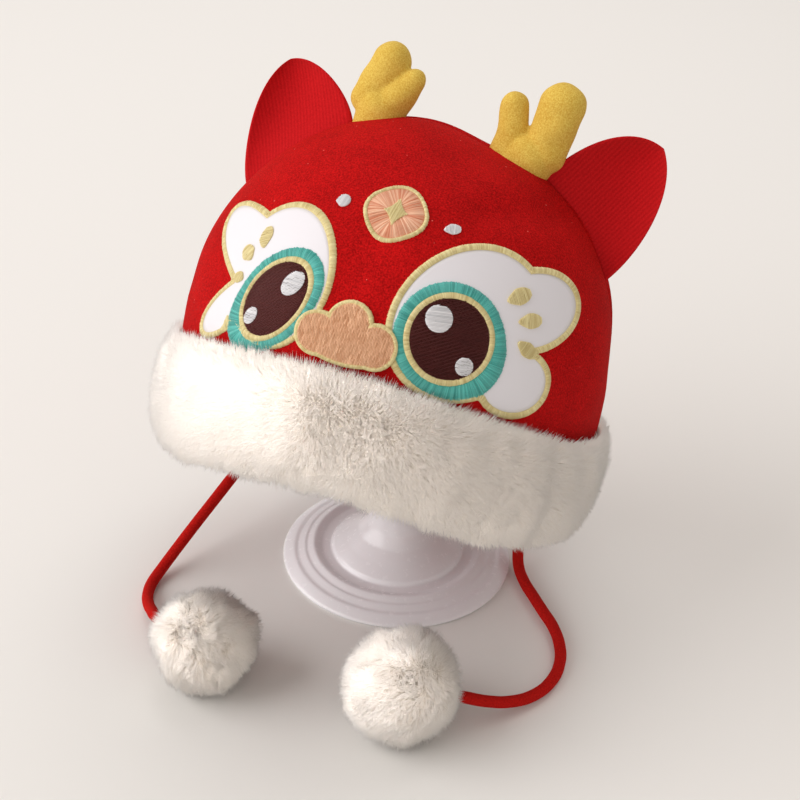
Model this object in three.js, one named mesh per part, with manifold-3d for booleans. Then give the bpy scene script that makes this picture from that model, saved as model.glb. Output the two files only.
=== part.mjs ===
// A child's festive dragon-face hat with a fur band, ears, horns and pompom ties, on its display stand.
// Millimetres, +Z up. The origin is the centre of the stand's flat underside, and the face looks towards -Y.
import * as THREE from 'three';
import { mergeVertices } from 'three/addons/utils/BufferGeometryUtils.js';
import Module from 'manifold-3d';

// Crown: an elliptical dome on short walls, in the hat's own frame. Half width, half depths and height.
// taper is how much the sides draw in with each millimetre below the widest level, as a share of the width.
const crown = { halfWidth: 90, front: 86, back: 75, height: 93, taper: 0.0007, wall: 2, seamGap: 0.3 };

// How the hat sits on the stand: its widest level above the floor, leaning back and a little to one side.
const hatSeat = { x: -4.3, y: -1.0, z: 113.3, leanBack: 20.06, leanSide: 4.58 };

// Fur band: top and bottom edges at the sides and back, and how much each rises at the middle of the front.
const band = {
  top: -15.5, topRise: 22, bottom: -57, bottomRise: 14.5, rimInset: 5,
  sideThickness: 7, frontThickness: 11, flatInside: 0.72, squareness: 0.6,
  gap: 0.65, faceClearance: 2.6,
};

// Soft folds of the front panel: a line from one (x, z) point to another, with its half width and its depth.
const folds = [
  { fromX: 68, fromZ: 56, toX: 36, toZ: 67, halfWidth: 12, depth: 1.6 },
  { fromX: -5, fromZ: 50, toX: -9, toZ: 32, halfWidth: 12, depth: 1.2 },
  { fromX: -64, fromZ: 20, toX: -80, toZ: 8, halfWidth: 11, depth: 1.2 },
  { fromX: 80, fromZ: 8, toX: 84, toZ: -22, halfWidth: 11, depth: 1.2 },
];

// The top sags a little on one side between the horns: middle of the sag, its half width and its depth.
const topSag = { x: 18, halfWidth: 18, depth: 3.2, fromZ: 66, toZ: 88 };

// Heights of the sewn layers of the face above the crown cloth: on the cloth, on a patch, and on an eye.
const layers = {
  cloth: { low: 0.65, high: 1.0 },
  patch: { low: 1.3, high: 1.75 },
  eye: { low: 2.1, high: 2.55 },
};
const seam = 0.3;

// Eyes: centre on the front panel, and how far the patch is drawn out sideways on each half of the face.
const eyes = [
  { name: 'left', side: -1, x: -35.5, z: 22.2, spread: 0.82 },
  { name: 'right', side: 1, x: 33.2, z: 24.0, spread: 1.0 },
];
const eye = {
  irisRadius: 14.6,
  yellowOuter: 17.1,
  tealOuter: 21.2,
  tealDrop: 2.2,
  patchBorder: 2.9,
};

// The patch outline is the outer edge of overlapping round lobes, measured out and up from the iris.
const patchLobes = [
  { out: 14, up: 8, radius: 31 },
  { out: 2, up: 10, radius: 23 },
  { out: -6, up: 6, radius: 19 },
  { out: 37.8, up: 18.2, radius: 16.7 },
  { out: 29.5, up: -10.5, radius: 15.6 },
  { out: 14, up: -6, radius: 19 },
];
const highlights = [
  { name: 'large', across: -5.3, up: 6.9, radius: 5.6 },
  { name: 'small', across: 8.0, up: -9.4, radius: 3.6 },
];
const drops = [
  { name: 'upper', out: 24.2, up: 20.1, long: 5.4, short: 3.1, turn: 38 },
  { name: 'middle', out: 30.4, up: 12.0, long: 5.4, short: 3.0, turn: 18 },
  { name: 'lower', out: 31.2, up: 1.7, long: 4.3, short: 2.8, turn: -28 },
];
const dropPinch = 0.32;

// Nose: a cloud of three round lobes over a wide oval, sewn over the inner edges of both eyes.
const nose = { x: -2.5, z: 16.7, border: 1.7 };
const noseLobes = [
  { across: -2.6, up: 4.4, halfWidth: 8.8, halfHeight: 9.2 },
  { across: -12.6, up: -2.0, halfWidth: 9.3, halfHeight: 8.4 },
  { across: 10.4, up: -1.6, halfWidth: 8.4, halfHeight: 9.0 },
  { across: 0, up: -4.2, halfWidth: 15.5, halfHeight: 7.4 },
];

const coin = { x: 0.3, z: 62.6, radius: 12.4, border: 1.7, starReach: 7.2, starCurve: 0.72 };
const dots = [
  { name: 'forehead_dot_left', x: -21.0, z: 62.0 },
  { name: 'forehead_dot_right', x: 22.7, z: 61.8 },
];
const dotRadius = { long: 3.2, short: 2.6 };

// Ears stand on the seam. Outline points are measured from the root's middle, along the root and away from it.
const ears = [
  {
    name: 'ear_left', side: -1, rootFrom: 30.2, rootTo: 64.2, tip: [16, 34], leanBack: 8,
    outer: [[-18, 16], [-2, 34]], inner: [[30, 12], [30, 33]],
  },
  {
    name: 'ear_right', side: 1, rootFrom: 30.2, rootTo: 57.5, tip: [14, 43.9], leanBack: 3,
    outer: [[-21, 16], [-8, 43.5]], inner: [[32, 11], [31, 40]],
  },
];
const ear = { thickness: 4.2, edgeThickness: 2.4, cup: 8, rootCup: 0.1, gap: 0.35 };

// Horns: each is a joined set of stuffed round-ended lobes standing on the seam, from one (x, z) to another.
const horns = [
  {
    name: 'horn_left',
    lobes: [
      { fromX: -28.2, fromZ: 84, toX: -32, toZ: 98, fromRadius: 10.4, toRadius: 7.8 },
      { fromX: -33, fromZ: 99, toX: -28.2, toZ: 110.4, fromRadius: 7.6, toRadius: 8.3 },
      { fromX: -24.5, fromZ: 92, toX: -16.4, toZ: 105.6, fromRadius: 6.6, toRadius: 5.2 },
    ],
  },
  {
    name: 'horn_right',
    lobes: [
      { fromX: 31.6, fromZ: 80, toX: 34.2, toZ: 92, fromRadius: 11.8, toRadius: 9.2 },
      { fromX: 38.2, fromZ: 91, toX: 42.6, toZ: 109.8, fromRadius: 8.6, toRadius: 9.8 },
      { fromX: 28.4, fromZ: 90, toX: 26.0, toZ: 105, fromRadius: 8.4, toRadius: 6.2 },
    ],
  },
];
const hornGap = 0.35;

// Ties: felt cords of round section from inside the rim, down to the floor and into a pompom.
const tieDiameter = 5;
const ties = [
  {
    name: 'tie_left',
    pompom: { name: 'pompom_left', x: -53, y: -104, z: 20.1, radius: 20 },
    route: [
      [-61.4, 33.0, 51.0], [-62.6, 29.8, 46.0], [-66.2, 21.0, 41.0], [-70.8, 8.0, 36.0],
      [-76.0, -6.2, 29.6], [-81.2, -18.0, 22.4], [-86.6, -29.4, 14.8], [-91.2, -39.4, 8.0],
      [-94.0, -48.0, 4.0], [-95.0, -56.0, 2.8], [-93.8, -64.0, 3.4], [-90.4, -72.4, 5.4],
      [-85.4, -80.6, 9.0], [-79.6, -88.6, 13.2], [-73.4, -94.6, 16.4],
    ],
  },
  {
    name: 'tie_right',
    pompom: { name: 'pompom_right', x: 30, y: -106, z: 22.1, radius: 22 },
    route: [
      [44.8, 29.2, 44.0], [45.6, 28.2, 38.0], [47.4, 25.6, 28.5], [49.8, 21.2, 18.0],
      [52.4, 14.6, 9.0], [54.8, 6.0, 4.0], [59.4, -3.0, 2.8], [65.2, -11.5, 2.8],
      [71.6, -20.5, 2.8], [78.0, -29.5, 2.8], [82.8, -40.0, 2.8], [85.0, -51.0, 2.8],
      [83.8, -63.0, 2.9], [79.0, -74.0, 3.6], [71.0, -83.8, 6.2], [62.0, -90.8, 10.0],
      [53.4, -96.0, 14.4],
    ],
  },
];
const pompomGap = 0.3;

// Display stand: a ringed round base, a stem and a shallow dome that carries the crown from inside.
const base = [
  { radius: 0, height: 0 },
  { radius: 50.2, height: 0 },
  { radius: 51.1, height: 0.8 },
  { radius: 50.4, height: 1.8 },
  { radius: 46.2, height: 4.1 },
  { radius: 44.4, height: 4.0 },
  { radius: 41.4, height: 5.5 },
  { radius: 40.2, height: 5.4 },
  { radius: 37.4, height: 7.0 },
  { radius: 36.0, height: 6.6 },
  { radius: 33.6, height: 5.6 },
  { radius: 29.4, height: 5.6 },
  { radius: 28.6, height: 7.4 },
  { radius: 22.8, height: 11.4 },
  { radius: 17.6, height: 15.6 },
  { radius: 13.8, height: 20.6 },
  { radius: 11.6, height: 27.0 },
  { radius: 11.0, height: 34.0 },
  { radius: 0, height: 34.0 },
];
const stem = { radius: 8.5, collar: 10.5, collarHeight: 3 };
const dome = { radius: 66, thickness: 2.6, edgeAngle: 66, hubRadius: 12, hubDrop: 14, gap: 0.3 };

const colours = {
  cloth: 0xb11313, knit: 0xc0191b, fur: 0xf3ece2, horn: 0xe1ba59, white: 0xe9e4e8, thread: 0xe4d496,
  teal: 0x46beb2, brown: 0x2e1514, peach: 0xd7a380, coin: 0xde916e, cord: 0xbd2823, plastic: 0xe6e2e4,
};
const finish = (color, roughness) => new THREE.MeshStandardMaterial({ color, roughness, metalness: 0 });
const materials = {
  cloth: finish(colours.cloth, 0.9),
  knit: finish(colours.knit, 0.85),
  fur: finish(colours.fur, 0.95),
  horn: finish(colours.horn, 0.9),
  white: finish(colours.white, 0.7),
  thread: finish(colours.thread, 0.5),
  teal: finish(colours.teal, 0.5),
  brown: finish(colours.brown, 0.45),
  peach: finish(colours.peach, 0.5),
  coin: finish(colours.coin, 0.5),
  cord: finish(colours.cord, 0.85),
  plastic: finish(colours.plastic, 0.25),
};

const wasm = await Module();
wasm.setup();

const radians = THREE.MathUtils.degToRad;
const vector = (x, y, z) => new THREE.Vector3(x, y, z);

function named(name, geometry, material) {
  const mesh = new THREE.Mesh(geometry, material);
  mesh.name = name;
  return mesh;
}

// Turns a list of corner points, three to a triangle, into a geometry that faces outwards.
function bodyFrom(corners) {
  let volume = 0;
  const kept = [];
  for (let i = 0; i < corners.length; i += 3) {
    const [a, b, c] = corners.slice(i, i + 3);
    if (a.distanceTo(b) < 1e-4 || b.distanceTo(c) < 1e-4 || c.distanceTo(a) < 1e-4) continue;
    volume += a.dot(b.clone().cross(c));
    kept.push([a, b, c]);
  }
  const ordered = volume < 0 ? kept.map(([a, b, c]) => [a, c, b]) : kept;
  const positions = ordered.flat().flatMap((p) => [p.x, p.y, p.z]);
  const geometry = new THREE.BufferGeometry();
  geometry.setAttribute('position', new THREE.Float32BufferAttribute(positions, 3));
  return mergeVertices(geometry, 1e-4);
}

// A closed slab between an upper and a lower surface. place(u, v, face) gives a point, u and v from 0 to 1.
function slab(stepsU, stepsV, closedU, place) {
  const column = (i, face) => {
    const u = (closedU ? i % stepsU : i) / stepsU;
    return Array.from({ length: stepsV + 1 }, (_, j) => place(u, j / stepsV, face));
  };
  const faces = [1, 0].map((face) => Array.from({ length: stepsU + 1 }, (_, i) => column(i, face)));
  const corners = [];
  const quad = (a, b, c, d) => corners.push(a, b, c, a, c, d);
  for (let i = 0; i < stepsU; i += 1) {
    for (let j = 0; j < stepsV; j += 1) {
      quad(faces[0][i][j], faces[0][i + 1][j], faces[0][i + 1][j + 1], faces[0][i][j + 1]);
      quad(faces[1][i][j], faces[1][i][j + 1], faces[1][i + 1][j + 1], faces[1][i + 1][j]);
    }
    quad(faces[0][i][0], faces[1][i][0], faces[1][i + 1][0], faces[0][i + 1][0]);
    quad(faces[0][i][stepsV], faces[0][i + 1][stepsV], faces[1][i + 1][stepsV], faces[1][i][stepsV]);
  }
  if (!closedU) {
    for (let j = 0; j < stepsV; j += 1) {
      quad(faces[0][0][j], faces[0][0][j + 1], faces[1][0][j + 1], faces[1][0][j]);
      quad(faces[0][stepsU][j], faces[1][stepsU][j], faces[1][stepsU][j + 1], faces[0][stepsU][j + 1]);
    }
  }
  return bodyFrom(corners);
}

// Depth of the crown from its seam plane to the front or the back, and its half width at a height.
const depthTowards = (y) => (y <= 0 ? crown.front : crown.back);
const halfWidthAt = (z) => crown.halfWidth * (1 - crown.taper * Math.max(0, -z));

// Outward normal of the crown's smooth form at a point.
function crownNormal(p) {
  const depth = depthTowards(p.y);
  return vector(
    p.x / crown.halfWidth ** 2,
    p.y / depth ** 2,
    Math.max(p.z, 0) / crown.height ** 2,
  ).normalize();
}

// How far the front cloth is pressed in at (x, z) by its folds.
function foldDepth(x, z) {
  let depth = 0;
  for (const fold of folds) {
    const alongX = fold.toX - fold.fromX;
    const alongZ = fold.toZ - fold.fromZ;
    const t = ((x - fold.fromX) * alongX + (z - fold.fromZ) * alongZ) / (alongX ** 2 + alongZ ** 2);
    const k = THREE.MathUtils.clamp(t, 0, 1);
    const distance = Math.hypot(x - fold.fromX - k * alongX, z - fold.fromZ - k * alongZ);
    depth += fold.depth * Math.exp(-((distance / fold.halfWidth) ** 2));
  }
  return depth;
}

// How far the top of the crown has sunk at (x, z).
function sagDepth(x, z) {
  const share = THREE.MathUtils.smoothstep(z, topSag.fromZ, topSag.toZ);
  return topSag.depth * share * Math.exp(-(((x - topSag.x) / topSag.halfWidth) ** 2));
}

// Moves a point of the smooth form onto the folded cloth, then out by the given height.
function raised(p, height) {
  const fold = p.y < 0 ? foldDepth(p.x, p.z) * THREE.MathUtils.smoothstep(-p.y, 0, 12) : 0;
  const point = p.clone().addScaledVector(crownNormal(p), height - fold);
  point.z -= sagDepth(p.x, p.z);
  return point;
}

// Share of the front middle at a longitude: 1 at the face, 0 at the sides and back. Longitude 0 is the face.
const frontShare = (longitude) => Math.max(0, Math.cos(longitude)) ** 2;
const bandTop = (longitude) => band.top + band.topRise * frontShare(longitude);
const bandBottom = (longitude) => band.bottom + band.bottomRise * frontShare(longitude) ** 2;

// A point of the smooth crown. rise is -1 at the rim, 0 at the widest level and 1 at the top.
function crownPoint(longitude, rise) {
  const up = rise > 0 ? radians(90 * rise) : 0;
  const depth = Math.cos(longitude) >= 0 ? crown.front : crown.back;
  const rim = bandBottom(longitude) + band.rimInset;
  const z = rise > 0 ? crown.height * Math.sin(up) : -rise * rim;
  const reach = Math.cos(up);
  return vector(halfWidthAt(z) * reach * Math.sin(longitude), -depth * reach * Math.cos(longitude), z);
}

// One cloth panel from seam to seam, facing the front or the back, with half of the seam's gap. A part of its
// rows runs down the walls and the rest over the dome.
function crownPanel(middle, stepsU, stepsV) {
  const wallPart = 0.25;
  const shift = middle === 0 ? -crown.seamGap / 2 : crown.seamGap / 2;
  return slab(stepsU, stepsV, false, (u, v, face) => {
    const longitude = middle + radians(180 * u - 90);
    const rise = v < wallPart ? v / wallPart - 1 : (v - wallPart) / (1 - wallPart);
    const point = raised(crownPoint(longitude, rise), face === 1 ? 0 : -crown.wall);
    if (u === 0 || u === 1 || v === 1) point.y = 0;
    point.y += shift;
    return point;
  });
}

// The fur band is a closed ring of rounded section around the walls. Its top edge stands clear of the face.
function furBand(stepsAround, stepsSection) {
  const place = (i, j) => {
    const longitude = radians((360 * (i % stepsAround)) / stepsAround);
    const turn = radians((360 * (j % stepsSection)) / stepsSection);
    const middle = (bandTop(longitude) + bandBottom(longitude)) / 2;
    const halfHeight = (bandTop(longitude) - bandBottom(longitude)) / 2;
    const up = Math.sign(Math.sin(turn)) * Math.abs(Math.sin(turn)) ** band.squareness;
    const across = (Math.max(-band.flatInside, Math.cos(turn)) + band.flatInside) / (1 + band.flatInside);
    const standOff = frontShare(longitude) * THREE.MathUtils.smoothstep(up, -0.2, 0.5) * band.faceClearance;
    const depth = Math.cos(longitude) >= 0 ? crown.front : crown.back;
    const z = middle + halfHeight * up;
    const wall = vector(halfWidthAt(z) * Math.sin(longitude), -depth * Math.cos(longitude), 0);
    const thickness = THREE.MathUtils.lerp(band.sideThickness, band.frontThickness, frontShare(longitude));
    const out = Math.max(band.gap + standOff, across * thickness);
    const point = wall.addScaledVector(crownNormal(wall), out);
    point.z = z;
    return point;
  };
  const corners = [];
  for (let i = 0; i < stepsAround; i += 1) {
    for (let j = 0; j < stepsSection; j += 1) {
      const [a, b, c, d] = [place(i, j), place(i + 1, j), place(i + 1, j + 1), place(i, j + 1)];
      corners.push(a, b, c, a, c, d);
    }
  }
  return bodyFrom(corners);
}

// A flat frame on the front panel: its centre on the smooth form, and the directions sideways, up and out.
function frameAt(x, z) {
  const share = 1 - (x / crown.halfWidth) ** 2 - (Math.max(z, 0) / crown.height) ** 2;
  const origin = vector(x, -crown.front * Math.sqrt(share), z);
  const out = crownNormal(origin);
  const across = vector(0, 0, 1).cross(out).normalize().negate();
  if (across.x < 0) across.negate();
  const up = vector(0, 0, 1).addScaledVector(out, -out.z).normalize();
  return { origin, across, up, out };
}

// Lays a point of a flat frame on the front panel, straight in along the frame's direction, then lifts it.
function onFace(frame, across, up, height) {
  const p = frame.origin.clone().addScaledVector(frame.across, across).addScaledVector(frame.up, up);
  for (let i = 0; i < 8; i += 1) {
    const level = Math.max(p.z, 0);
    const halfWidth = halfWidthAt(p.z);
    const value = (p.x / halfWidth) ** 2 + (p.y / crown.front) ** 2 + (level / crown.height) ** 2 - 1;
    const slope = 2 * ((p.x * frame.out.x) / halfWidth ** 2 + (p.y * frame.out.y) / crown.front ** 2
      + (level * frame.out.z) / crown.height ** 2);
    p.addScaledVector(frame.out, -value / slope);
  }
  return raised(p, height);
}

// A sewn field on the face between two outlines, each a radius for an angle. An inner radius of 0 is a disc.
function field(frame, layer, inner, outer, stepsAround, stepsOut, side = 1) {
  return slab(stepsAround, stepsOut, true, (u, v, face) => {
    const angle = u * 2 * Math.PI;
    const radius = inner(angle) + (outer(angle) - inner(angle)) * v;
    const height = face === 1 ? layer.high : layer.low;
    return onFace(frame, side * radius * Math.cos(angle), radius * Math.sin(angle), height);
  });
}

// An outline of one radius all round.
const fixed = (radius) => () => radius;

// Radius of the outer edge of overlapping ellipses, seen from the middle of the frame.
function lobedRadius(angle, lobes) {
  const distances = lobes.map((lobe) => {
    const dx = Math.cos(angle) / lobe.halfWidth;
    const dy = Math.sin(angle) / lobe.halfHeight;
    const cx = lobe.across / lobe.halfWidth;
    const cy = lobe.up / lobe.halfHeight;
    const a = dx * dx + dy * dy;
    const b = dx * cx + dy * cy;
    const root = b * b - a * (cx * cx + cy * cy - 1);
    return root < 0 ? 0 : (b + Math.sqrt(root)) / a;
  });
  return Math.max(...distances);
}

// Radius of an ellipse with its long axis sideways.
const ellipseRadius = (angle, long, short) => (
  (long * short) / Math.hypot(short * Math.cos(angle), long * Math.sin(angle)));

// A drop is round at one end and comes to a point at the end that faces the iris.
function dropRadius(angle, drop) {
  const turned = angle - radians(drop.turn);
  const oval = ellipseRadius(turned, drop.long, drop.short);
  const pinch = dropPinch * Math.max(0, -Math.cos(turned)) ** 3;
  return oval * (1 - Math.abs(Math.sin(turned)) * pinch);
}

// The star on the coin is a square with curved-in sides and its points along both frame directions.
const starRadius = (angle) => coin.starReach / (Math.abs(Math.cos(angle)) ** coin.starCurve
  + Math.abs(Math.sin(angle)) ** coin.starCurve) ** (1 / coin.starCurve);

// Everything sewn around one eye, from the white patch up to the highlights.
function eyePieces(spec) {
  const frame = frameAt(spec.x, spec.z);
  const lobes = patchLobes.map((lobe) => ({
    across: lobe.out * spec.spread,
    up: lobe.up,
    halfWidth: lobe.radius * spec.spread,
    halfHeight: lobe.radius,
  }));
  const patchEdge = (angle) => lobedRadius(angle, lobes);
  const patchInside = (angle) => patchEdge(angle) - eye.patchBorder;
  const tealEdge = (angle) => eye.tealOuter + eye.tealDrop * Math.max(0, -Math.sin(angle)) ** 2;
  const side = spec.side;
  const pieces = [
    named(`eye_patch_${spec.name}`,
      field(frame, layers.cloth, fixed(0), (a) => patchInside(a) - seam, 44, 5, side), materials.white),
    named(`patch_border_${spec.name}`,
      field(frame, layers.cloth, patchInside, patchEdge, 44, 1, side), materials.thread),
    named(`eye_ring_${spec.name}`,
      field(frame, layers.patch, fixed(eye.yellowOuter + seam), tealEdge, 32, 1, side), materials.teal),
    named(`ring_border_${spec.name}`,
      field(frame, layers.patch, fixed(eye.irisRadius + seam), fixed(eye.yellowOuter), 28, 1, side),
      materials.thread),
    named(`iris_${spec.name}`,
      field(frame, layers.patch, fixed(0), fixed(eye.irisRadius), 28, 2, side), materials.brown),
  ];
  for (const spot of highlights) {
    const local = offsetFrame(frame, side * spot.across, spot.up);
    pieces.push(named(`highlight_${spot.name}_${spec.name}`,
      field(local, layers.eye, fixed(0), fixed(spot.radius), 14, 1), materials.white));
  }
  for (const drop of drops) {
    const local = offsetFrame(frame, side * drop.out * spec.spread, drop.up);
    pieces.push(named(`drop_${drop.name}_${spec.name}`,
      field(local, layers.patch, fixed(0), (a) => dropRadius(a, drop), 14, 1, side), materials.thread));
  }
  return pieces;
}

// A frame on the face whose middle is moved sideways and up within another frame.
function offsetFrame(frame, across, up) {
  const p = onFace(frame, across, up, 0);
  return frameAt(p.x, p.z);
}

// The nose and its border, a cloud shape that overlaps both eyes.
function nosePieces() {
  const frame = frameAt(nose.x, nose.z);
  const edge = (angle) => lobedRadius(angle, noseLobes);
  const inside = (angle) => edge(angle) - nose.border;
  return [
    named('nose', field(frame, layers.eye, fixed(0), (a) => inside(a) - seam, 40, 3), materials.peach),
    named('nose_border', field(frame, layers.eye, inside, edge, 40, 1), materials.thread),
  ];
}

// The coin on the forehead, with its border and its star.
function coinPieces() {
  const frame = frameAt(coin.x, coin.z);
  const inside = coin.radius - coin.border;
  return [
    named('coin', field(frame, layers.cloth, fixed(0), fixed(inside - seam), 28, 2), materials.coin),
    named('coin_border',
      field(frame, layers.cloth, fixed(inside), fixed(coin.radius), 28, 1), materials.thread),
    named('coin_star', field(frame, layers.patch, fixed(0), starRadius, 24, 1), materials.thread),
  ];
}

function foreheadDot(dot) {
  const frame = frameAt(dot.x, dot.z);
  const edge = (angle) => ellipseRadius(angle, dotRadius.long, dotRadius.short);
  return named(dot.name, field(frame, layers.cloth, fixed(0), edge, 12, 1), materials.white);
}

// An ear: a cupped pad whose root follows the seam and whose edges are two curves that meet at the tip.
function earPad(spec) {
  const root = (degrees) => vector(
    spec.side * crown.halfWidth * Math.cos(radians(degrees)), 0, crown.height * Math.sin(radians(degrees)),
  );
  const from = root(spec.rootFrom);
  const to = root(spec.rootTo);
  const middle = from.clone().add(to).multiplyScalar(0.5);
  const inwards = to.clone().sub(from).normalize();
  const outwards = vector(spec.side * inwards.z, 0, -spec.side * inwards.x);
  const half = from.distanceTo(to) / 2;
  const curve = (start, controls) => new THREE.CubicBezierCurve(
    ...[start, ...controls, spec.tip].map((point) => new THREE.Vector2(...point)),
  );
  const outer = curve([-half, 0], spec.outer);
  const inner = curve([half, 0], spec.inner);
  const lean = Math.tan(radians(spec.leanBack));
  return slab(10, 9, false, (u, v, face) => {
    const a = outer.getPoint(v);
    const b = inner.getPoint(v);
    const flat = a.lerp(b, u);
    const seat = root(spec.rootFrom + (spec.rootTo - spec.rootFrom) * u);
    const bulge = seat.clone().sub(middle).dot(outwards) + ear.gap;
    const height = flat.y + bulge * (1 - v) ** 2;
    const middleness = 1 - (2 * u - 1) ** 2;
    const thickness = ear.edgeThickness + (ear.thickness - ear.edgeThickness) * middleness * (1 - v);
    const cup = ear.cup * middleness * Math.sin(Math.PI * (ear.rootCup + (1 - ear.rootCup) * v));
    const depth = lean * flat.y + cup + (face === 1 ? -thickness / 2 : thickness / 2);
    return middle.clone().addScaledVector(inwards, flat.x).addScaledVector(outwards, height)
      .add(vector(0, depth, 0));
  });
}

// Joins or cuts closed geometries.
function solidFrom(geometry) {
  const bare = geometry.clone();
  bare.deleteAttribute('normal');
  bare.deleteAttribute('uv');
  const merged = mergeVertices(bare, 1e-3);
  return new wasm.Manifold(new wasm.Mesh({
    numProp: 3,
    vertProperties: new Float32Array(merged.attributes.position.array),
    triVerts: new Uint32Array(merged.index.array),
  }));
}

function geometryFrom(solid) {
  const mesh = solid.getMesh();
  const geometry = new THREE.BufferGeometry();
  geometry.setAttribute('position', new THREE.BufferAttribute(mesh.vertProperties, 3));
  geometry.setIndex(new THREE.BufferAttribute(mesh.triVerts, 1));
  return geometry;
}

// The crown's smooth form as one solid, grown by a small gap, which the horns' roots are cut to.
function crownMould(gap) {
  const mould = new THREE.SphereGeometry(1, 48, 32);
  mould.rotateX(Math.PI / 2);
  const positions = mould.attributes.position;
  for (let i = 0; i < positions.count; i += 1) {
    const x = positions.getX(i) * (crown.halfWidth + gap);
    const y = positions.getY(i);
    const z = positions.getZ(i) * (crown.height + gap);
    positions.setXYZ(i, x, y * (depthTowards(y) + gap), z - sagDepth(x, z));
  }
  return solidFrom(mould);
}

// A stuffed lobe: a round-ended tapered body from one point to another.
function lobeSolid(lobe) {
  const start = vector(lobe.fromX, 0, lobe.fromZ);
  const end = vector(lobe.toX, 0, lobe.toZ);
  const length = start.distanceTo(end);
  const profile = [];
  for (let i = 0; i <= 3; i += 1) {
    const turn = radians(-90 + 30 * i);
    profile.push(new THREE.Vector2(lobe.fromRadius * Math.cos(turn), lobe.fromRadius * Math.sin(turn)));
  }
  for (let i = 0; i <= 4; i += 1) {
    const turn = radians(22.5 * i);
    profile.push(new THREE.Vector2(lobe.toRadius * Math.cos(turn), length + lobe.toRadius * Math.sin(turn)));
  }
  profile[0].x = 0;
  profile[profile.length - 1].x = 0;
  const shape = new THREE.LatheGeometry(profile, 12);
  const direction = end.clone().sub(start).normalize();
  shape.applyQuaternion(new THREE.Quaternion().setFromUnitVectors(vector(0, 1, 0), direction));
  shape.translate(start.x, start.y, start.z);
  return solidFrom(shape);
}

// A horn: its lobes joined, with the crown's form cut from their roots.
function hornGeometry(spec, mould) {
  const whole = spec.lobes.map(lobeSolid).reduce((joined, lobe) => joined.add(lobe));
  return geometryFrom(whole.subtract(mould));
}

// A cord of round section along a smooth route.
function cordGeometry(route) {
  const sides = 8;
  const outline = new THREE.Shape(Array.from({ length: sides }, (_, i) => new THREE.Vector2(
    (tieDiameter / 2) * Math.cos((2 * Math.PI * i) / sides),
    (tieDiameter / 2) * Math.sin((2 * Math.PI * i) / sides),
  )));
  const path = new THREE.CatmullRomCurve3(route.map((p) => vector(...p)), false, 'centripetal');
  return new THREE.ExtrudeGeometry(outline, { steps: 22, bevelEnabled: false, extrudePath: path });
}

// Ends a route just outside its pompom, on the straight way to the pompom's middle.
function routeToPompom(tie) {
  const centre = vector(tie.pompom.x, tie.pompom.y, tie.pompom.z);
  const reach = tie.pompom.radius + pompomGap;
  const free = tie.route.filter((p) => vector(...p).distanceTo(centre) > reach + 4);
  const last = vector(...free[free.length - 1]);
  const end = centre.clone().add(last.sub(centre).setLength(reach));
  return [...free, [end.x, end.y, end.z]];
}

// A turned body standing along Z.
function lathed(profile, segments) {
  const points = profile.map((p) => new THREE.Vector2(p.radius, p.height));
  const geometry = new THREE.LatheGeometry(points, segments);
  geometry.rotateX(Math.PI / 2);
  return geometry;
}

// The highest level at which the dome's centre may lie under the tilted crown, with its gap.
function domeCentreHeight(toWorld) {
  let highest = Infinity;
  for (let i = 0; i < 72; i += 1) {
    for (let j = 0; j <= 24; j += 1) {
      const inside = raised(crownPoint(radians(5 * i), j / 24), -crown.wall).applyMatrix4(toWorld);
      const reach = dome.radius + dome.gap;
      const side = Math.hypot(inside.x, inside.y);
      const edge = reach * Math.sin(radians(dome.edgeAngle + 2));
      if (side < edge) highest = Math.min(highest, inside.z - Math.sqrt(reach ** 2 - side ** 2));
    }
  }
  return highest;
}

// Outline of the dome: a shell with a hub under its middle.
function domeProfile(centre) {
  const inside = dome.radius - dome.thickness;
  const edge = radians(dome.edgeAngle);
  const steps = 7;
  const arc = (radius, from, to) => Array.from({ length: steps + 1 }, (_, i) => {
    const turn = from + ((to - from) * i) / steps;
    return { radius: radius * Math.sin(turn), height: centre + radius * Math.cos(turn) };
  });
  const hubTurn = Math.asin(dome.hubRadius / inside);
  const hubBottom = centre + inside * Math.cos(hubTurn) - dome.hubDrop;
  return {
    hubBottom,
    profile: [
      { radius: 0, height: hubBottom },
      { radius: dome.hubRadius, height: hubBottom },
      ...arc(inside, hubTurn, edge),
      ...arc(dome.radius, edge, 0),
    ],
  };
}

// The hat, in its own frame, then set on the stand.
const hat = new THREE.Group();
hat.position.set(hatSeat.x, hatSeat.y, hatSeat.z);
hat.rotation.set(radians(-hatSeat.leanBack), radians(hatSeat.leanSide), 0);
hat.updateMatrixWorld();
hat.add(named('crown_front', crownPanel(0, 30, 14), materials.cloth));
hat.add(named('crown_back', crownPanel(Math.PI, 16, 11), materials.cloth));
hat.add(named('fur_band', furBand(42, 9), materials.fur));
for (const spec of eyes) hat.add(...eyePieces(spec));
hat.add(...nosePieces());
hat.add(...coinPieces());
for (const dot of dots) hat.add(foreheadDot(dot));
for (const spec of ears) hat.add(named(spec.name, earPad(spec), materials.knit));
const mould = crownMould(hornGap);
for (const spec of horns) hat.add(named(spec.name, hornGeometry(spec, mould), materials.horn));

const group = new THREE.Group();
group.add(hat);

for (const tie of ties) {
  group.add(named(tie.name, cordGeometry(routeToPompom(tie)), materials.cord));
  const ball = new THREE.IcosahedronGeometry(tie.pompom.radius, 4);
  const pompom = named(tie.pompom.name, ball, materials.fur);
  pompom.position.set(tie.pompom.x, tie.pompom.y, tie.pompom.z);
  group.add(pompom);
}

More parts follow.
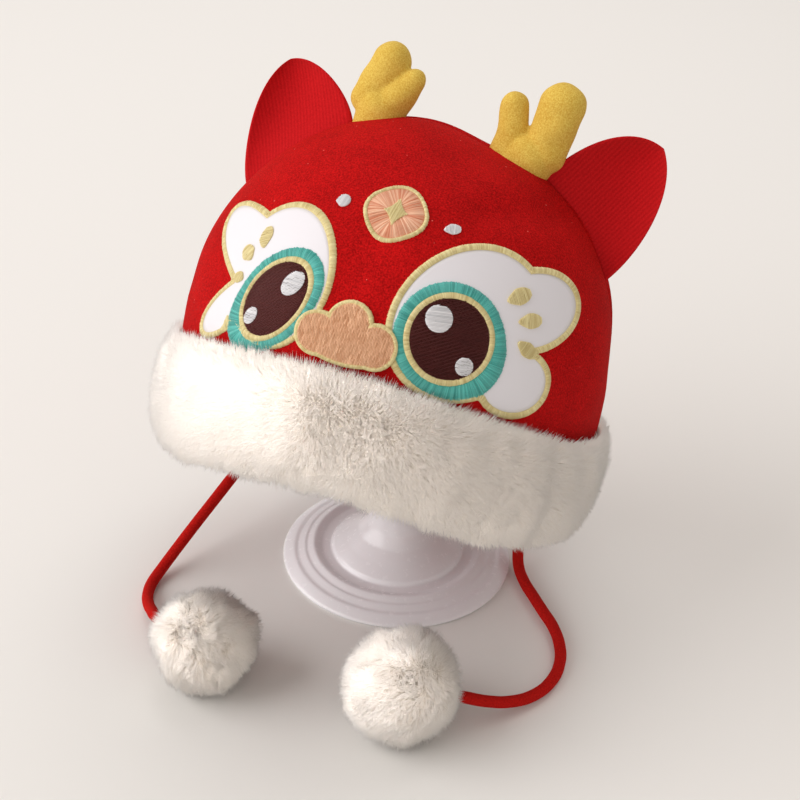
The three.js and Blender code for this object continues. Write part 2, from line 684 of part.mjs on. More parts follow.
// The stand: base, stem and dome, stacked with small gaps.
const domeCentre = domeCentreHeight(hat.matrixWorld);
const { profile: domeOutline, hubBottom } = domeProfile(domeCentre);
const baseTop = base[base.length - 1].height;
const stemProfile = [
  { radius: 0, height: baseTop + seam },
  { radius: stem.collar, height: baseTop + seam },
  { radius: stem.collar, height: baseTop + seam + stem.collarHeight },
  { radius: stem.radius, height: baseTop + seam + stem.collarHeight + 1.5 },
  { radius: stem.radius, height: hubBottom - seam },
  { radius: 0, height: hubBottom - seam },
];
group.add(named('stand_base', lathed(base, 30), materials.plastic));
group.add(named('stand_stem', lathed(stemProfile, 16), materials.plastic));
group.add(named('stand_dome', lathed(domeOutline, 24), materials.plastic));

export default group;
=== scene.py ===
"""A child's festive dragon hat on its display stand: the looks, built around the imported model.

Metres, +Z up. The origin is under the middle of the stand and the face looks towards -Y.
"""
import math

import bmesh
import bpy
import numpy as np
from mathutils import Matrix, Vector
from mathutils.kdtree import KDTree


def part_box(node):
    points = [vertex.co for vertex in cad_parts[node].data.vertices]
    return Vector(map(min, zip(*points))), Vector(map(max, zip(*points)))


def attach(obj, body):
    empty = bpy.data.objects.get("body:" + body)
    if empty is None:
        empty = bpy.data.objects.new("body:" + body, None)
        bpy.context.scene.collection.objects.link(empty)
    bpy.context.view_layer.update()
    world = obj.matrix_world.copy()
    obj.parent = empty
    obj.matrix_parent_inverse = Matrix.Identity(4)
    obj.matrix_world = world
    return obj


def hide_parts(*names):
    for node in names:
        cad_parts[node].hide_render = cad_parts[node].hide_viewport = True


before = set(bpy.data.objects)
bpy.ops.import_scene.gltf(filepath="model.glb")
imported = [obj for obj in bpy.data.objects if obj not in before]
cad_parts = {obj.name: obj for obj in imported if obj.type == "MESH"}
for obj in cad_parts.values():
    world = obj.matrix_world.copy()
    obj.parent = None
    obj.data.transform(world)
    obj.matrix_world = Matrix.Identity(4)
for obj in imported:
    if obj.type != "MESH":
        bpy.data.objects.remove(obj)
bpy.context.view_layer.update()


# Camera: above the hat and a little to one side, with a short telephoto lens, and tilted a little, as one
# held in the hand.
def placed(name, data):
    """An object at the origin with this data."""
    made = bpy.data.objects.new(name, data)
    bpy.context.scene.collection.objects.link(made)
    return made


def turned_camera(azimuth, elevation, roll):
    """Rotation of a camera that looks down at an elevation from an azimuth, in radians, turned by a roll."""
    forward = Vector((-math.sin(azimuth) * math.cos(elevation), math.cos(azimuth) * math.cos(elevation),
                      -math.sin(elevation)))
    level = Vector((math.cos(azimuth), math.sin(azimuth), 0))
    upright = level.cross(forward)
    right = level * math.cos(roll) + upright * math.sin(roll)
    up = right.cross(forward)
    return Matrix((right, up, -forward)).transposed()


camera_data = bpy.data.cameras.new("camera")
camera_data.lens = 81
camera_data.sensor_width = 36
camera_data.clip_start = 0.01
camera = placed("camera", camera_data)
camera.matrix_world = Matrix.Translation((0.1464, -0.6206, 0.5092)) @ turned_camera(
    math.radians(13.5), math.radians(33.7), math.radians(3.4)).to_4x4()
bpy.context.scene.camera = camera


# Plush fur: a knitted backing with a deep pile of fine acrylic strands, which lie over and gather in
# tufts. The band and the pompoms are made of it. The strands grow from a backing mesh that carries how
# they lean.
def out(node, name=None):
    """The node's first output in use, or the one of that name."""
    return next(s for s in node.outputs if s.enabled and name in (None, s.name))


def fill(tree, node, inputs):
    """Fills a node's inputs, by name or place, with values, sockets or other nodes' first outputs."""
    for key, value in inputs.items():
        by_name = [s for s in node.inputs if s.name == key and s.enabled]
        socket = by_name[0] if by_name else node.inputs[key]
        value = out(value) if isinstance(value, bpy.types.Node) else value
        if isinstance(value, bpy.types.NodeSocket):
            tree.links.new(value, socket)
        else:
            socket.default_value = value


def add(tree, kind, inputs=None, **settings):
    """Adds a node, sets its properties and fills its inputs."""
    node = tree.nodes.new(kind)
    for name, value in settings.items():
        setattr(node, name, value)
    fill(tree, node, inputs or {})
    return node


def colour(code):
    """Linear red, green, blue and alpha of an sRGB hex value."""
    parts = [int(code[i:i + 2], 16) / 255 for i in (0, 2, 4)]
    return [p / 12.92 if p <= 0.04045 else ((p + 0.055) / 1.055) ** 2.4 for p in parts] + [1.0]


def new_material(name, code, **values):
    """A material, its tree and its shader. values are the shader's own constants, with _ for a space."""
    made = bpy.data.materials.new(name)
    made.use_nodes = True
    shader = made.node_tree.nodes["Principled BSDF"]
    for socket, value in {"Base_Color": code, **values}.items():
        value = colour(value) if isinstance(value, str) else value
        shader.inputs[socket.replace("_", " ")].default_value = value
    return made, made.node_tree, shader


def new_mesh(name, points, faces=(), edges=()):
    """An object at the origin with this mesh."""
    mesh = bpy.data.meshes.new(name)
    mesh.from_pydata(np.asarray(points).tolist(), [list(e) for e in edges], [list(f) for f in faces])
    mesh.validate()
    return placed(name, mesh)


def points_of(piece):
    """A piece's points."""
    places = np.empty(len(piece.data.vertices) * 3, np.float32)
    piece.data.vertices.foreach_get("co", places)
    return places.reshape(-1, 3).astype(float)


def move_points(piece, places):
    """Puts a piece's points at these places."""
    piece.data.vertices.foreach_set("co", places.astype(np.float32).ravel())


def store(piece, name, values):
    """Keeps a number or a vector for each point of a piece under a name."""
    values = np.asarray(values, np.float32)
    kind, field = ("FLOAT", "value") if values.ndim == 1 else ("FLOAT_VECTOR", "vector")
    attribute = piece.data.attributes.new(name, kind, "POINT")
    attribute.data.foreach_set(field, values.ravel())


def unit(vectors):
    """The same directions with length 1."""
    vectors = np.asarray(vectors, float)
    return vectors / np.maximum(np.linalg.norm(vectors, axis=-1, keepdims=True), 1e-12)


def ripple(points, spacing, seed):
    """A smooth irregular field, mostly between -1 and 1, whose bumps lie about a spacing apart."""
    draw = np.random.default_rng(seed)
    total = np.zeros(points.shape[:-1])
    for _ in range(9):
        wave = unit(draw.normal(size=3)) * 2 * math.pi / (spacing * draw.uniform(0.7, 1.5))
        total += np.sin(points @ wave + draw.uniform(0, 2 * math.pi))
    return total / 3


def new_tree(name, sizes):
    """A geometry tree whose inputs are the named sizes, with its inputs and its output node."""
    tree = bpy.data.node_groups.new(name, "GeometryNodeTree")
    face = tree.interface
    face.new_socket("Geometry", in_out="INPUT", socket_type="NodeSocketGeometry")
    face.new_socket("Geometry", in_out="OUTPUT", socket_type="NodeSocketGeometry")
    for size, kind in sizes.items():
        face.new_socket(size, in_out="INPUT", socket_type=kind)
    return tree, add(tree, "NodeGroupInput").outputs, add(tree, "NodeGroupOutput")


def made_plain(piece):
    """Makes what a piece's modifiers give its own mesh, and takes them off."""
    bpy.context.view_layer.update()
    evaluated = piece.evaluated_get(bpy.context.evaluated_depsgraph_get())
    mesh = bpy.data.meshes.new_from_object(evaluated)
    piece.modifiers.clear()
    piece.data = mesh


def grown(piece, tree, **sizes):
    """Runs a geometry tree on a piece with its inputs set, and keeps the result as its mesh."""
    modifier = piece.modifiers.new(tree.name, "NODES")
    modifier.node_group = tree
    for item in tree.interface.items_tree:
        if item.item_type == "SOCKET" and item.in_out == "INPUT" and item.name in sizes:
            modifier[item.identifier] = sizes[item.name]
    made_plain(piece)


def finished(piece, slot, *nodes):
    """Puts a piece on the model in place of its plain solids."""
    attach(piece, "root")
    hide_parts(*nodes)
    return piece


def fur_tree():
    """Strands on a backing, which lean as it says, are drawn to their tuft's middle and vary a little."""
    tree, given, made = new_tree("fur", {
        "Strand": "NodeSocketObject", "Density": "NodeSocketFloat", "Tufts": "NodeSocketFloat",
        "Length": "NodeSocketFloat", "Pull": "NodeSocketFloat", "Stray": "NodeSocketFloat",
        "Evenness": "NodeSocketFloat", "Seed": "NodeSocketInt", "Finish": "NodeSocketMaterial",
    })
    cover = add(tree, "GeometryNodeInputNamedAttribute", {"Name": "cover"}, data_type="FLOAT")
    density = add(tree, "ShaderNodeMath", {0: given["Density"], 1: out(cover, "Attribute")},
                  operation="MULTIPLY")
    strands = add(tree, "GeometryNodeDistributePointsOnFaces", {
        "Mesh": given["Geometry"], "Density": density, "Seed": given["Seed"]})
    rooted = add(tree, "GeometryNodeStoreNamedAttribute", {
        "Geometry": out(strands, "Points"), "Name": "pile_normal", "Value": out(strands, "Normal")},
        data_type="FLOAT_VECTOR")
    other = add(tree, "ShaderNodeMath", {0: given["Seed"], 1: 17}, operation="ADD")
    tufts = add(tree, "GeometryNodeDistributePointsOnFaces", {
        "Mesh": given["Geometry"], "Density": given["Tufts"], "Seed": other})
    place = add(tree, "GeometryNodeInputPosition")
    nearest = add(tree, "GeometryNodeSampleNearest", {
        "Geometry": out(tufts, "Points"), "Sample Position": place}, domain="POINT")
    middle = add(tree, "GeometryNodeSampleIndex", {
        "Geometry": out(tufts, "Points"), "Value": place, "Index": nearest}, data_type="FLOAT_VECTOR")
    towards = add(tree, "ShaderNodeVectorMath", {0: middle, 1: place}, operation="SUBTRACT")
    lean = add(tree, "GeometryNodeInputNamedAttribute", {"Name": "lean"}, data_type="FLOAT_VECTOR")
    reach = add(tree, "ShaderNodeVectorMath", {0: out(lean, "Attribute"), "Scale": given["Length"]},
                operation="SCALE")
    drawn = add(tree, "ShaderNodeVectorMath", {0: towards, 1: given["Pull"], 2: reach},
                operation="MULTIPLY_ADD")
    stray = add(tree, "FunctionNodeRandomValue", {"Min": (-1, -1, -1), "Max": (1, 1, 1), "Seed": 3},
                data_type="FLOAT_VECTOR")
    way = add(tree, "ShaderNodeVectorMath", {0: stray, 1: given["Stray"], 2: drawn},
              operation="MULTIPLY_ADD")
    upright = add(tree, "FunctionNodeAlignRotationToVector", {"Vector": way}, axis="Z")
    facing = add(tree, "FunctionNodeAlignRotationToVector", {
        "Rotation": upright, "Vector": out(strands, "Normal")}, axis="X", pivot_axis="Z")
    twist = add(tree, "FunctionNodeRandomValue", {"Min": -0.35, "Max": 0.35, "Seed": 5}, data_type="FLOAT")
    twisting = add(tree, "FunctionNodeAxisAngleToRotation", {"Axis": (0, 0, 1), "Angle": twist})
    turned = add(tree, "FunctionNodeRotateRotation", {"Rotation": facing, "Rotate By": twisting},
                 rotation_space="LOCAL")
    length = add(tree, "ShaderNodeVectorMath", {0: way}, operation="LENGTH")
    share = add(tree, "FunctionNodeRandomValue", {"Min": 0.80, "Max": 1.08, "Seed": 7}, data_type="FLOAT")
    tall = add(tree, "ShaderNodeMath", {0: out(length, "Value"), 1: share}, operation="MULTIPLY")
    size = add(tree, "ShaderNodeCombineXYZ", {"X": 1, "Y": 1, "Z": tall})
    strand = add(tree, "GeometryNodeObjectInfo", {"Object": given["Strand"]})
    pile = add(tree, "GeometryNodeInstanceOnPoints", {
        "Points": rooted, "Instance": out(strand, "Geometry"), "Rotation": turned, "Scale": size})
    real = add(tree, "GeometryNodeRealizeInstances", {"Geometry": pile})
    whole = add(tree, "GeometryNodeJoinGeometry", {0: given["Geometry"]})
    fill(tree, whole, {0: real})
    smooth = add(tree, "GeometryNodeSetShadeSmooth", {"Geometry": whole})
    own = add(tree, "GeometryNodeInputNormal")
    pile_normal = add(tree, "GeometryNodeInputNamedAttribute", {"Name": "pile_normal"},
                      data_type="FLOAT_VECTOR")
    summed = add(tree, "ShaderNodeVectorMath", {
        0: out(pile_normal, "Attribute"), 1: given["Evenness"], 2: own}, operation="MULTIPLY_ADD")
    shaded = add(tree, "ShaderNodeVectorMath", {0: summed}, operation="NORMALIZE")
    soft = add(tree, "GeometryNodeSetMeshNormal", {"Mesh": smooth, "Custom Normal": shaded},
               mode="FREE", domain="POINT")
    worn = add(tree, "GeometryNodeSetMaterial", {"Geometry": soft, "Material": given["Finish"]})
    fill(tree, made, {"Geometry": worn})
    return tree


def strand_mesh(name, width, bend):
    """One strand, a three-sided spike of unit height that tapers to a point and bends over."""
    around = [2 * math.pi * k / 3 for k in range(3)]
    points = [(width * 0.55 * math.cos(a), width * 0.55 * math.sin(a), 0) for a in around] + [(-bend, 0, 1)]
    made = new_mesh(name, points, [(0, 1, 3), (1, 2, 3), (2, 0, 3)])
    store(made, "along", (0, 0, 0, 1))
    return made


def furred(piece, seed, width, bend, **sizes):
    """Grows fur of these sizes on a piece, from strands of a width that bend over."""
    strand = strand_mesh(piece.name + "_strand", width, bend)
    grown(piece, fur_growth, Strand=strand, Evenness=0.6, Seed=seed, Finish=fur, **sizes)
    bpy.data.objects.remove(strand)


# Acrylic fur fibre: nearly white, a little warm, with a soft sheen. Light scatters through the pile, so its
# hollows glow. Its colour is painted darker towards the strands' roots and on the backing, as painted shade.
fur, fur_nodes, fur_shader = new_material("acrylic plush fur", "fbf7f1", Roughness=0.75, Sheen_Weight=0.25,
                                          Sheen_Roughness=0.5, Specular_IOR_Level=0.2,
                                          Subsurface_Weight=0.42, Subsurface_Radius=(1.0, 0.95, 0.9),
                                          Subsurface_Scale=0.002)
fur_shader.subsurface_method = "BURLEY"
# Painted shade: the colour runs from a darker tone at the roots to the full white at the tips.
fur_depth = add(fur_nodes, "ShaderNodeAttribute", attribute_name="along")
fur_root_shade_ramp = add(fur_nodes, "ShaderNodeValToRGB", {"Fac": out(fur_depth, "Fac")})
fur_root_shade_ramp.color_ramp.elements[0].color = colour("ece4da")
fur_root_shade_ramp.color_ramp.elements[1].color = colour("f7f2ec")
fur_root_shade_ramp.color_ramp.elements[1].position = 0.7
fill(fur_nodes, fur_shader, {"Base Color": fur_root_shade_ramp})
fur_growth = fur_tree()


# Pompoms: balls of the same fur, tied off over a core. Their strands are longer and lie over to one side,
# in sheaves that part here and there. They rest on the table, so the fur is flat underneath.
BALLS = {
    "left": {"centre": (-0.053, -0.104, 0.0201), "radius": 0.020, "lie": (0.85, -0.4, -0.3), "seed": 11},
    "right": {"centre": (0.030, -0.106, 0.0221), "radius": 0.022, "lie": (-0.85, -0.5, -0.3), "seed": 23},
}
BALL_PILE = 0.0036
TABLE_GAP = 0.0004


def pompom(hand, centre, radius, lie, seed):
    """A fur ball. lie is the way that its strands are brushed."""
    node = "pompom_" + hand
    core = bmesh.new()
    bmesh.ops.create_icosphere(core, subdivisions=5, radius=1)
    mesh = bpy.data.meshes.new(node)
    core.to_mesh(mesh)
    core.free()
    ball = placed(node + "_fur", mesh)
    normals = points_of(ball)
    depth = radius - BALL_PILE + 0.0008 * ripple(normals, 0.9, seed + 1)
    points = np.asarray(centre) + normals * depth[:, None]
    points[:, 2] = np.maximum(points[:, 2], TABLE_GAP * 3)
    move_points(ball, points)
    brushed = np.cross(normals, np.cross(unit(lie), normals))
    waver = np.stack([ripple(normals, 0.6, seed + 2 + axis) for axis in range(3)], -1)
    store(ball, "lean", unit(normals + 0.6 * brushed + 0.4 * waver))
    store(ball, "cover", np.ones(len(points)))
    # The backing takes a colour near the ramp's dark end: painted shade deep in the pile.
    store(ball, "along", np.full(len(points), 0.2))
    furred(ball, seed, 0.00047, 0.0006, Density=6.4e6, Tufts=2.2e5, Length=0.0066, Pull=0.52, Stray=0.0013)
    points = points_of(ball)
    points[:, 2] = np.maximum(points[:, 2], TABLE_GAP)
    move_points(ball, points)
    return finished(ball, "white_fur", node)


balls = {hand: pompom(hand, **facts) for hand, facts in BALLS.items()}


# Ties: cords of soft red felt, 5 mm thick. Each is sewn inside the rim, hangs to the table, lies there in
# one curve and ends in its pompom. The wool's matted hairs show as grain 0.7 mm wide.
felt, felt_nodes, felt_shader = new_material("felted wool cord", "c8211d", Roughness=0.95, Sheen_Weight=0.08,
                                             Sheen_Roughness=0.45, Sheen_Tint="f04030",
                                             Specular_IOR_Level=0.05)
felt_place = add(felt_nodes, "ShaderNodeTexCoord")
felt_hair = add(felt_nodes, "ShaderNodeTexNoise", {
    "Vector": out(felt_place, "Object"), "Scale": 1500, "Detail": 4, "Roughness": 0.7})
felt_tone = add(felt_nodes, "ShaderNodeValToRGB", {"Fac": felt_hair})
felt_tone.color_ramp.elements[0].position = 0.3
felt_tone.color_ramp.elements[0].color = colour("9c100d")
felt_tone.color_ramp.elements[1].position = 0.75
felt_tone.color_ramp.elements[1].color = colour("d3231d")
felt_bump = add(felt_nodes, "ShaderNodeBump", {"Strength": 0.8, "Distance": 0.0005, "Height": felt_hair})
fill(felt_nodes, felt_shader, {"Base Color": felt_tone, "Normal": felt_bump})
CORD = 0.005


def tie(hand, route):
    """A cord along its route, in metres, that ends a little way inside its pompom."""
    name = "tie_" + hand
    centre, radius = np.array(BALLS[hand]["centre"]), BALLS[hand]["radius"]
    route = [np.array(p) for p in route]
    free = [p for p in route if np.linalg.norm(p - centre) > radius + 0.0043]
    end = centre + unit(free[-1] - centre) * (radius - 0.003)
    line = bpy.data.curves.new(name + "_cord", "CURVE")
    line.dimensions = "3D"
    line.bevel_depth = CORD / 2
    line.bevel_resolution = 5
    line.resolution_u = 8
    line.use_fill_caps = True
    spline = line.splines.new("BEZIER")
    spline.bezier_points.add(len(free))
    for knot, place in zip(spline.bezier_points, [*free, end]):
        knot.co = place
        knot.handle_left_type = "AUTO"
        knot.handle_right_type = "AUTO"
    cord = placed(name + "_cord", line)
    line.materials.append(felt)
    finished(cord, "red_felt_cord", name)


tie("left", [
    (-0.0614, 0.0330, 0.0510), (-0.0626, 0.0298, 0.0460), (-0.0662, 0.0210, 0.0410),
    (-0.0708, 0.0080, 0.0360), (-0.0760, -0.0062, 0.0296), (-0.0812, -0.0180, 0.0224),
    (-0.0866, -0.0294, 0.0148), (-0.0912, -0.0394, 0.0080), (-0.0940, -0.0480, 0.0040),
    (-0.0950, -0.0560, 0.0028), (-0.0938, -0.0640, 0.0034), (-0.0904, -0.0724, 0.0054),
    (-0.0854, -0.0806, 0.0090), (-0.0796, -0.0886, 0.0132), (-0.0734, -0.0946, 0.0164)])
tie("right", [
    (0.0448, 0.0292, 0.0440), (0.0456, 0.0282, 0.0380), (0.0474, 0.0256, 0.0285),
    (0.0498, 0.0212, 0.0180), (0.0524, 0.0146, 0.0090), (0.0548, 0.0060, 0.0040),
    (0.0594, -0.0030, 0.0028), (0.0652, -0.0115, 0.0028), (0.0716, -0.0205, 0.0028),
    (0.0780, -0.0295, 0.0028), (0.0828, -0.0400, 0.0028), (0.0850, -0.0510, 0.0028),
    (0.0838, -0.0630, 0.0029), (0.0790, -0.0740, 0.0036), (0.0710, -0.0838, 0.0062),
    (0.0620, -0.0908, 0.0100), (0.0534, -0.0960, 0.0144)])


# Crown: a front and a back panel of brushed red velour, 2 mm thick, that meet in one seam from side to
# side over the top. The cloth is soft, so it carries a few long shallow folds and sags between the horns.
HALF_WIDTH = 0.090
FRONT_DEPTH = 0.086
BACK_DEPTH = 0.075
HEIGHT = 0.093
RIM_TAPER = 0.7
CLOTH = 0.002
HAT_PLACE = Matrix.Translation((-0.0043, -0.0010, 0.1133)) @ Matrix.Rotation(math.radians(-20.06), 4, "X") \
    @ Matrix.Rotation(math.radians(4.58), 4, "Y")
SEAM_DEPTH = 0.0011
SEAM_REACH = 0.0016
TOP_SAG = {"across": 0.018, "reach": 0.018, "depth": 0.0032}
SIDE_DENT = {"middle": np.array([0.088, 0.012, 0.014]), "reach": 0.020, "depth": 0.003}
FOLDS = [
    {"start": (0.0560, 0.0722), "end": (0.0320, 0.0700), "reach": 0.0065, "depth": 0.0028},
    {"start": (-0.005, 0.052), "end": (-0.010, 0.030), "reach": 0.009, "depth": 0.0016},
    {"start": (-0.064, 0.020), "end": (-0.080, 0.008), "reach": 0.011, "depth": 0.0012},
    {"start": (0.080, 0.008), "end": (0.084, -0.022), "reach": 0.009, "depth": 0.0020},
]


def on_hat(points):
    """Points of the hat's own frame, in the model's frame."""
    turn = np.array(HAT_PLACE.to_3x3())
    return np.asarray(points) @ turn.T + np.array(HAT_PLACE.translation)


def smooth_step(values, low, high):
    """0 below low, 1 above high, and a smooth way between."""
    share = np.clip((values - low) / (high - low), 0, 1)
    return share * share * (3 - 2 * share)


def half_width_at(z):
    """Half the crown's width at a level. It draws in a little below the eyes."""
    return HALF_WIDTH * (1 - RIM_TAPER * np.maximum(0, -z))


def crown_normal(p):
    """The way straight out of the smooth crown at its points."""
    depth = np.where(p[..., 1] <= 0, FRONT_DEPTH, BACK_DEPTH)
    return unit(np.stack([p[..., 0] / HALF_WIDTH ** 2, p[..., 1] / depth ** 2,
                          np.maximum(p[..., 2], 0) / HEIGHT ** 2], -1))


def fold_depth(x, z):
    """How far the front cloth is pressed in by its folds."""
    depth = np.zeros_like(x)
    for fold in FOLDS:
        (x0, z0), (x1, z1) = fold["start"], fold["end"]
        run, rise = x1 - x0, z1 - z0
        along = np.clip(((x - x0) * run + (z - z0) * rise) / (run ** 2 + rise ** 2), 0, 1)
        away = np.hypot(x - x0 - along * run, z - z0 - along * rise)
        depth += fold["depth"] * np.exp(-(away / fold["reach"]) ** 2)
    return depth


def top_sag(x, z):
    """How far the cloth and what is sewn to it sag on the top, between the horns."""
    away = (x - TOP_SAG["across"]) / TOP_SAG["reach"]
    return TOP_SAG["depth"] * np.exp(-away ** 2) * smooth_step(z, 0.066, 0.088)


def raised(p, height):
    """Points of the smooth crown, moved onto the folded cloth and out by a height."""
    x, y, z = np.moveaxis(p, -1, 0)
    fold = np.where(y < 0, fold_depth(x, z) * smooth_step(-y, 0, 0.012), 0)
    seam = SEAM_DEPTH * np.exp(-(y / SEAM_REACH) ** 2)
    away = np.sum((p - SIDE_DENT["middle"]) ** 2, axis=-1)
    dent = SIDE_DENT["depth"] * np.exp(-away / SIDE_DENT["reach"] ** 2)
    moved = p + crown_normal(p) * (height - fold - seam - dent)[..., None]
    moved[..., 2] -= top_sag(x, z)
    return moved


def front_share(longitude):
    """1 in the middle of the face, and 0 at the sides and behind them."""
    return np.maximum(0, np.cos(longitude)) ** 2


def band_top(longitude):
    """Level of the fur band's top edge, which is highest over the face."""
    return -0.0155 + 0.0190 * front_share(longitude)


def band_bottom(longitude):
    """Level of its bottom edge, which hangs lowest at the back."""
    return -0.057 + 0.0145 * front_share(longitude) ** 2


def crown_grid(middle, across, down):
    """A panel's points on the smooth crown, from seam to seam and from the rim to the top."""
    longitude = middle + np.linspace(-math.pi / 2, math.pi / 2, across)[:, None]
    rise = np.linspace(-1, 1, down)[None, :] * np.ones_like(longitude)
    rise = np.where(rise < -0.5, (rise + 0.5) * 2, (rise + 0.5) / 1.5)
    up = np.maximum(rise, 0) * math.pi / 2
    z = np.where(rise > 0, HEIGHT * np.sin(up), -rise * (band_bottom(longitude) + 0.005))
    depth = FRONT_DEPTH if middle == 0 else BACK_DEPTH
    return np.stack([half_width_at(z) * np.cos(up) * np.sin(longitude),
                     -depth * np.cos(up) * np.cos(longitude), z], -1)


def wall_between(name, outer, inner, joined=False):
    """A closed piece between two grids of points, smooth, with its doubles merged. joined closes the grid."""
    rows, columns = outer.shape[:2]
    count = rows * columns
    index = np.arange(count).reshape(rows, columns)
    ring = np.vstack([index, index[:1]]) if joined else index
    a, b, c, d = ring[:-1, :-1], ring[1:, :-1], ring[1:, 1:], ring[:-1, 1:]
    faces = [np.stack([a, b, c, d], -1).reshape(-1, 4), np.stack([a, d, c, b], -1).reshape(-1, 4) + count]
    for edge in (ring[:, 0], ring[:, -1]) if joined else (ring[:, 0], ring[:, -1], ring[0], ring[-1]):
        faces.append(np.stack([edge[:-1], edge[:-1] + count, edge[1:] + count, edge[1:]], -1))
    points = np.concatenate([outer.reshape(-1, 3), inner.reshape(-1, 3)])
    return cleaned(new_mesh(name, points, np.concatenate(faces)))


def cleaned(piece):
    """Merges a piece's doubles, faces it outwards and shades it smooth."""
    whole = bmesh.new()
    whole.from_mesh(piece.data)
    bmesh.ops.remove_doubles(whole, verts=whole.verts, dist=2e-6)
    bmesh.ops.dissolve_degenerate(whole, edges=whole.edges, dist=1e-7)
    bmesh.ops.recalc_face_normals(whole, faces=whole.faces)
    for face in whole.faces:
        face.smooth = True
    whole.to_mesh(piece.data)
    whole.free()
    return piece


# Brushed velour: short nap that stands up, so it glows at grazing angles and shows fine lighter and
# darker grain 0.7 mm wide, soft clouds of 14 mm where the nap leans another way, and a speck of pale lint
# every 6 mm or so.
velour, velour_nodes, velour_shader = new_material("brushed polyester velour", "c01114", Roughness=0.9,
                                                   Sheen_Weight=0.15, Sheen_Roughness=0.4,
                                                   Sheen_Tint="ff4a3c", Specular_IOR_Level=0.05)


def add_nap(tree, shader, dark, light, grain, bump, clouds=0.014):
    """Gives a cloth its grain and clouds between two colours. grain is the nap's size and clouds theirs."""
    place = add(tree, "ShaderNodeTexCoord")
    fine = add(tree, "ShaderNodeTexNoise", {
        "Vector": out(place, "Object"), "Scale": 1 / grain, "Detail": 3, "Roughness": 0.65})
    cloud = add(tree, "ShaderNodeTexNoise", {
        "Vector": out(place, "Object"), "Scale": 1 / clouds, "Detail": 3})
    both = add(tree, "ShaderNodeMix", {"Factor": 0.15, "A": fine, "B": cloud})
    tone = add(tree, "ShaderNodeValToRGB", {"Fac": both})
    tone.color_ramp.elements[0].position = 0.36
    tone.color_ramp.elements[0].color = colour(dark)
    tone.color_ramp.elements[1].position = 0.64
    tone.color_ramp.elements[1].color = colour(light)
    relief = add(tree, "ShaderNodeBump", {"Strength": 1, "Distance": bump, "Height": fine})
    fill(tree, shader, {"Base Color": tone, "Normal": relief})
    return place, tone


velour_place, velour_tone = add_nap(velour_nodes, velour_shader, "8e090a", "cf1516", 0.0007, 0.00040)
lint = add(velour_nodes, "ShaderNodeTexVoronoi", {"Vector": out(velour_place, "Object"), "Scale": 160})
lint_speck = add(velour_nodes, "ShaderNodeMath", {0: out(lint, "Distance"), 1: 0.05}, operation="LESS_THAN")
linted = add(velour_nodes, "ShaderNodeMix", {
    "Factor": lint_speck, "A": velour_tone, "B": colour("e0645c")}, data_type="RGBA")
fill(velour_nodes, velour_shader, {"Base Color": linted})

for name, middle, across, down in (("crown_front", 0, 132, 72), ("crown_back", math.pi, 76, 50)):
    form = crown_grid(middle, across, down)
    apart = np.array([0, -0.00015 if middle == 0 else 0.00015, 0])
    outer, inner = (on_hat(raised(form, np.full(form.shape[:2], height)) + apart) for height in (0, -CLOTH))
    panel = wall_between(name + "_cloth", outer, inner)
    panel.data.materials.append(velour)
    finished(panel, "red_velour", name)


# Embroidery on the face: every shape is sewn with polyester thread about 0.5 mm thick over a thin
# backing. Borders and rings are satin stitch, laid side by side across them, and wide shapes are filled
# with rows of stitches.
def frame_at(x, z):
    """A flat frame on the front panel: its middle, and the ways sideways, up and out."""
    share = 1 - (x / HALF_WIDTH) ** 2 - (max(z, 0) / HEIGHT) ** 2
    middle = np.array([x, -FRONT_DEPTH * math.sqrt(share), z])
    outwards = crown_normal(middle)
    across = unit(np.cross(outwards, (0, 0, 1)))
    if across[0] < 0:
        across = -across
    up = unit(np.array([0, 0, 1]) - outwards * outwards[2])
    return {"middle": middle, "across": across, "up": up, "out": outwards}


def on_smooth_face(place, flat):
    """Points given sideways and up in a flat frame, laid straight in on the smooth crown."""
    flat = np.asarray(flat, float)
    p = place["middle"] + flat[..., :1] * place["across"] + flat[..., 1:] * place["up"]
    for _ in range(8):
        level = np.maximum(p[..., 2], 0)
        half = half_width_at(p[..., 2])
        value = (p[..., 0] / half) ** 2 + (p[..., 1] / FRONT_DEPTH) ** 2 + (level / HEIGHT) ** 2 - 1
        way = place["out"]
        slope = 2 * (p[..., 0] * way[0] / half ** 2 + p[..., 1] * way[1] / FRONT_DEPTH ** 2
                     + level * way[2] / HEIGHT ** 2)
        p = p - (value / slope)[..., None] * way
    return p


def on_face(place, flat, height):
    """The same points on the folded cloth and out by a height, in the model's frame."""
    p = on_smooth_face(place, flat)
    return on_hat(raised(p, np.broadcast_to(height, p.shape[:-1])))


def lobed(lobes, inset=0.0, steps=720):
    """Outline of overlapping oval lobes as a loop of flat points: each one's middle, half sizes and turn."""
    angle = np.arange(steps) * 2 * math.pi / steps
    reach = np.zeros(steps)
    for (x, z), (half_x, half_z), turn in lobes:
        turn = math.radians(turn)
        half_x, half_z = half_x - inset, half_z - inset
        dx, dz = np.cos(angle - turn) / half_x, np.sin(angle - turn) / half_z
        cx = (x * math.cos(turn) + z * math.sin(turn)) / half_x
        cz = (z * math.cos(turn) - x * math.sin(turn)) / half_z
        a, b = dx * dx + dz * dz, dx * cx + dz * cz
        root = b * b - a * (cx * cx + cz * cz - 1)
        reach = np.maximum(reach, np.where(root < 0, 0, (b + np.sqrt(np.maximum(root, 0))) / a))
    return np.stack([reach * np.cos(angle), reach * np.sin(angle)], -1)


def rounded(loop, reach):
    """A loop with its corners eased over a reach, for sewing that turns smoothly."""
    steps = np.linalg.norm(loop - np.roll(loop, 1, 0), axis=1)
    width = max(1, int(reach / np.mean(steps)))
    return sum(np.roll(loop, shift, 0) for shift in range(-width, width + 1)) / (2 * width + 1)


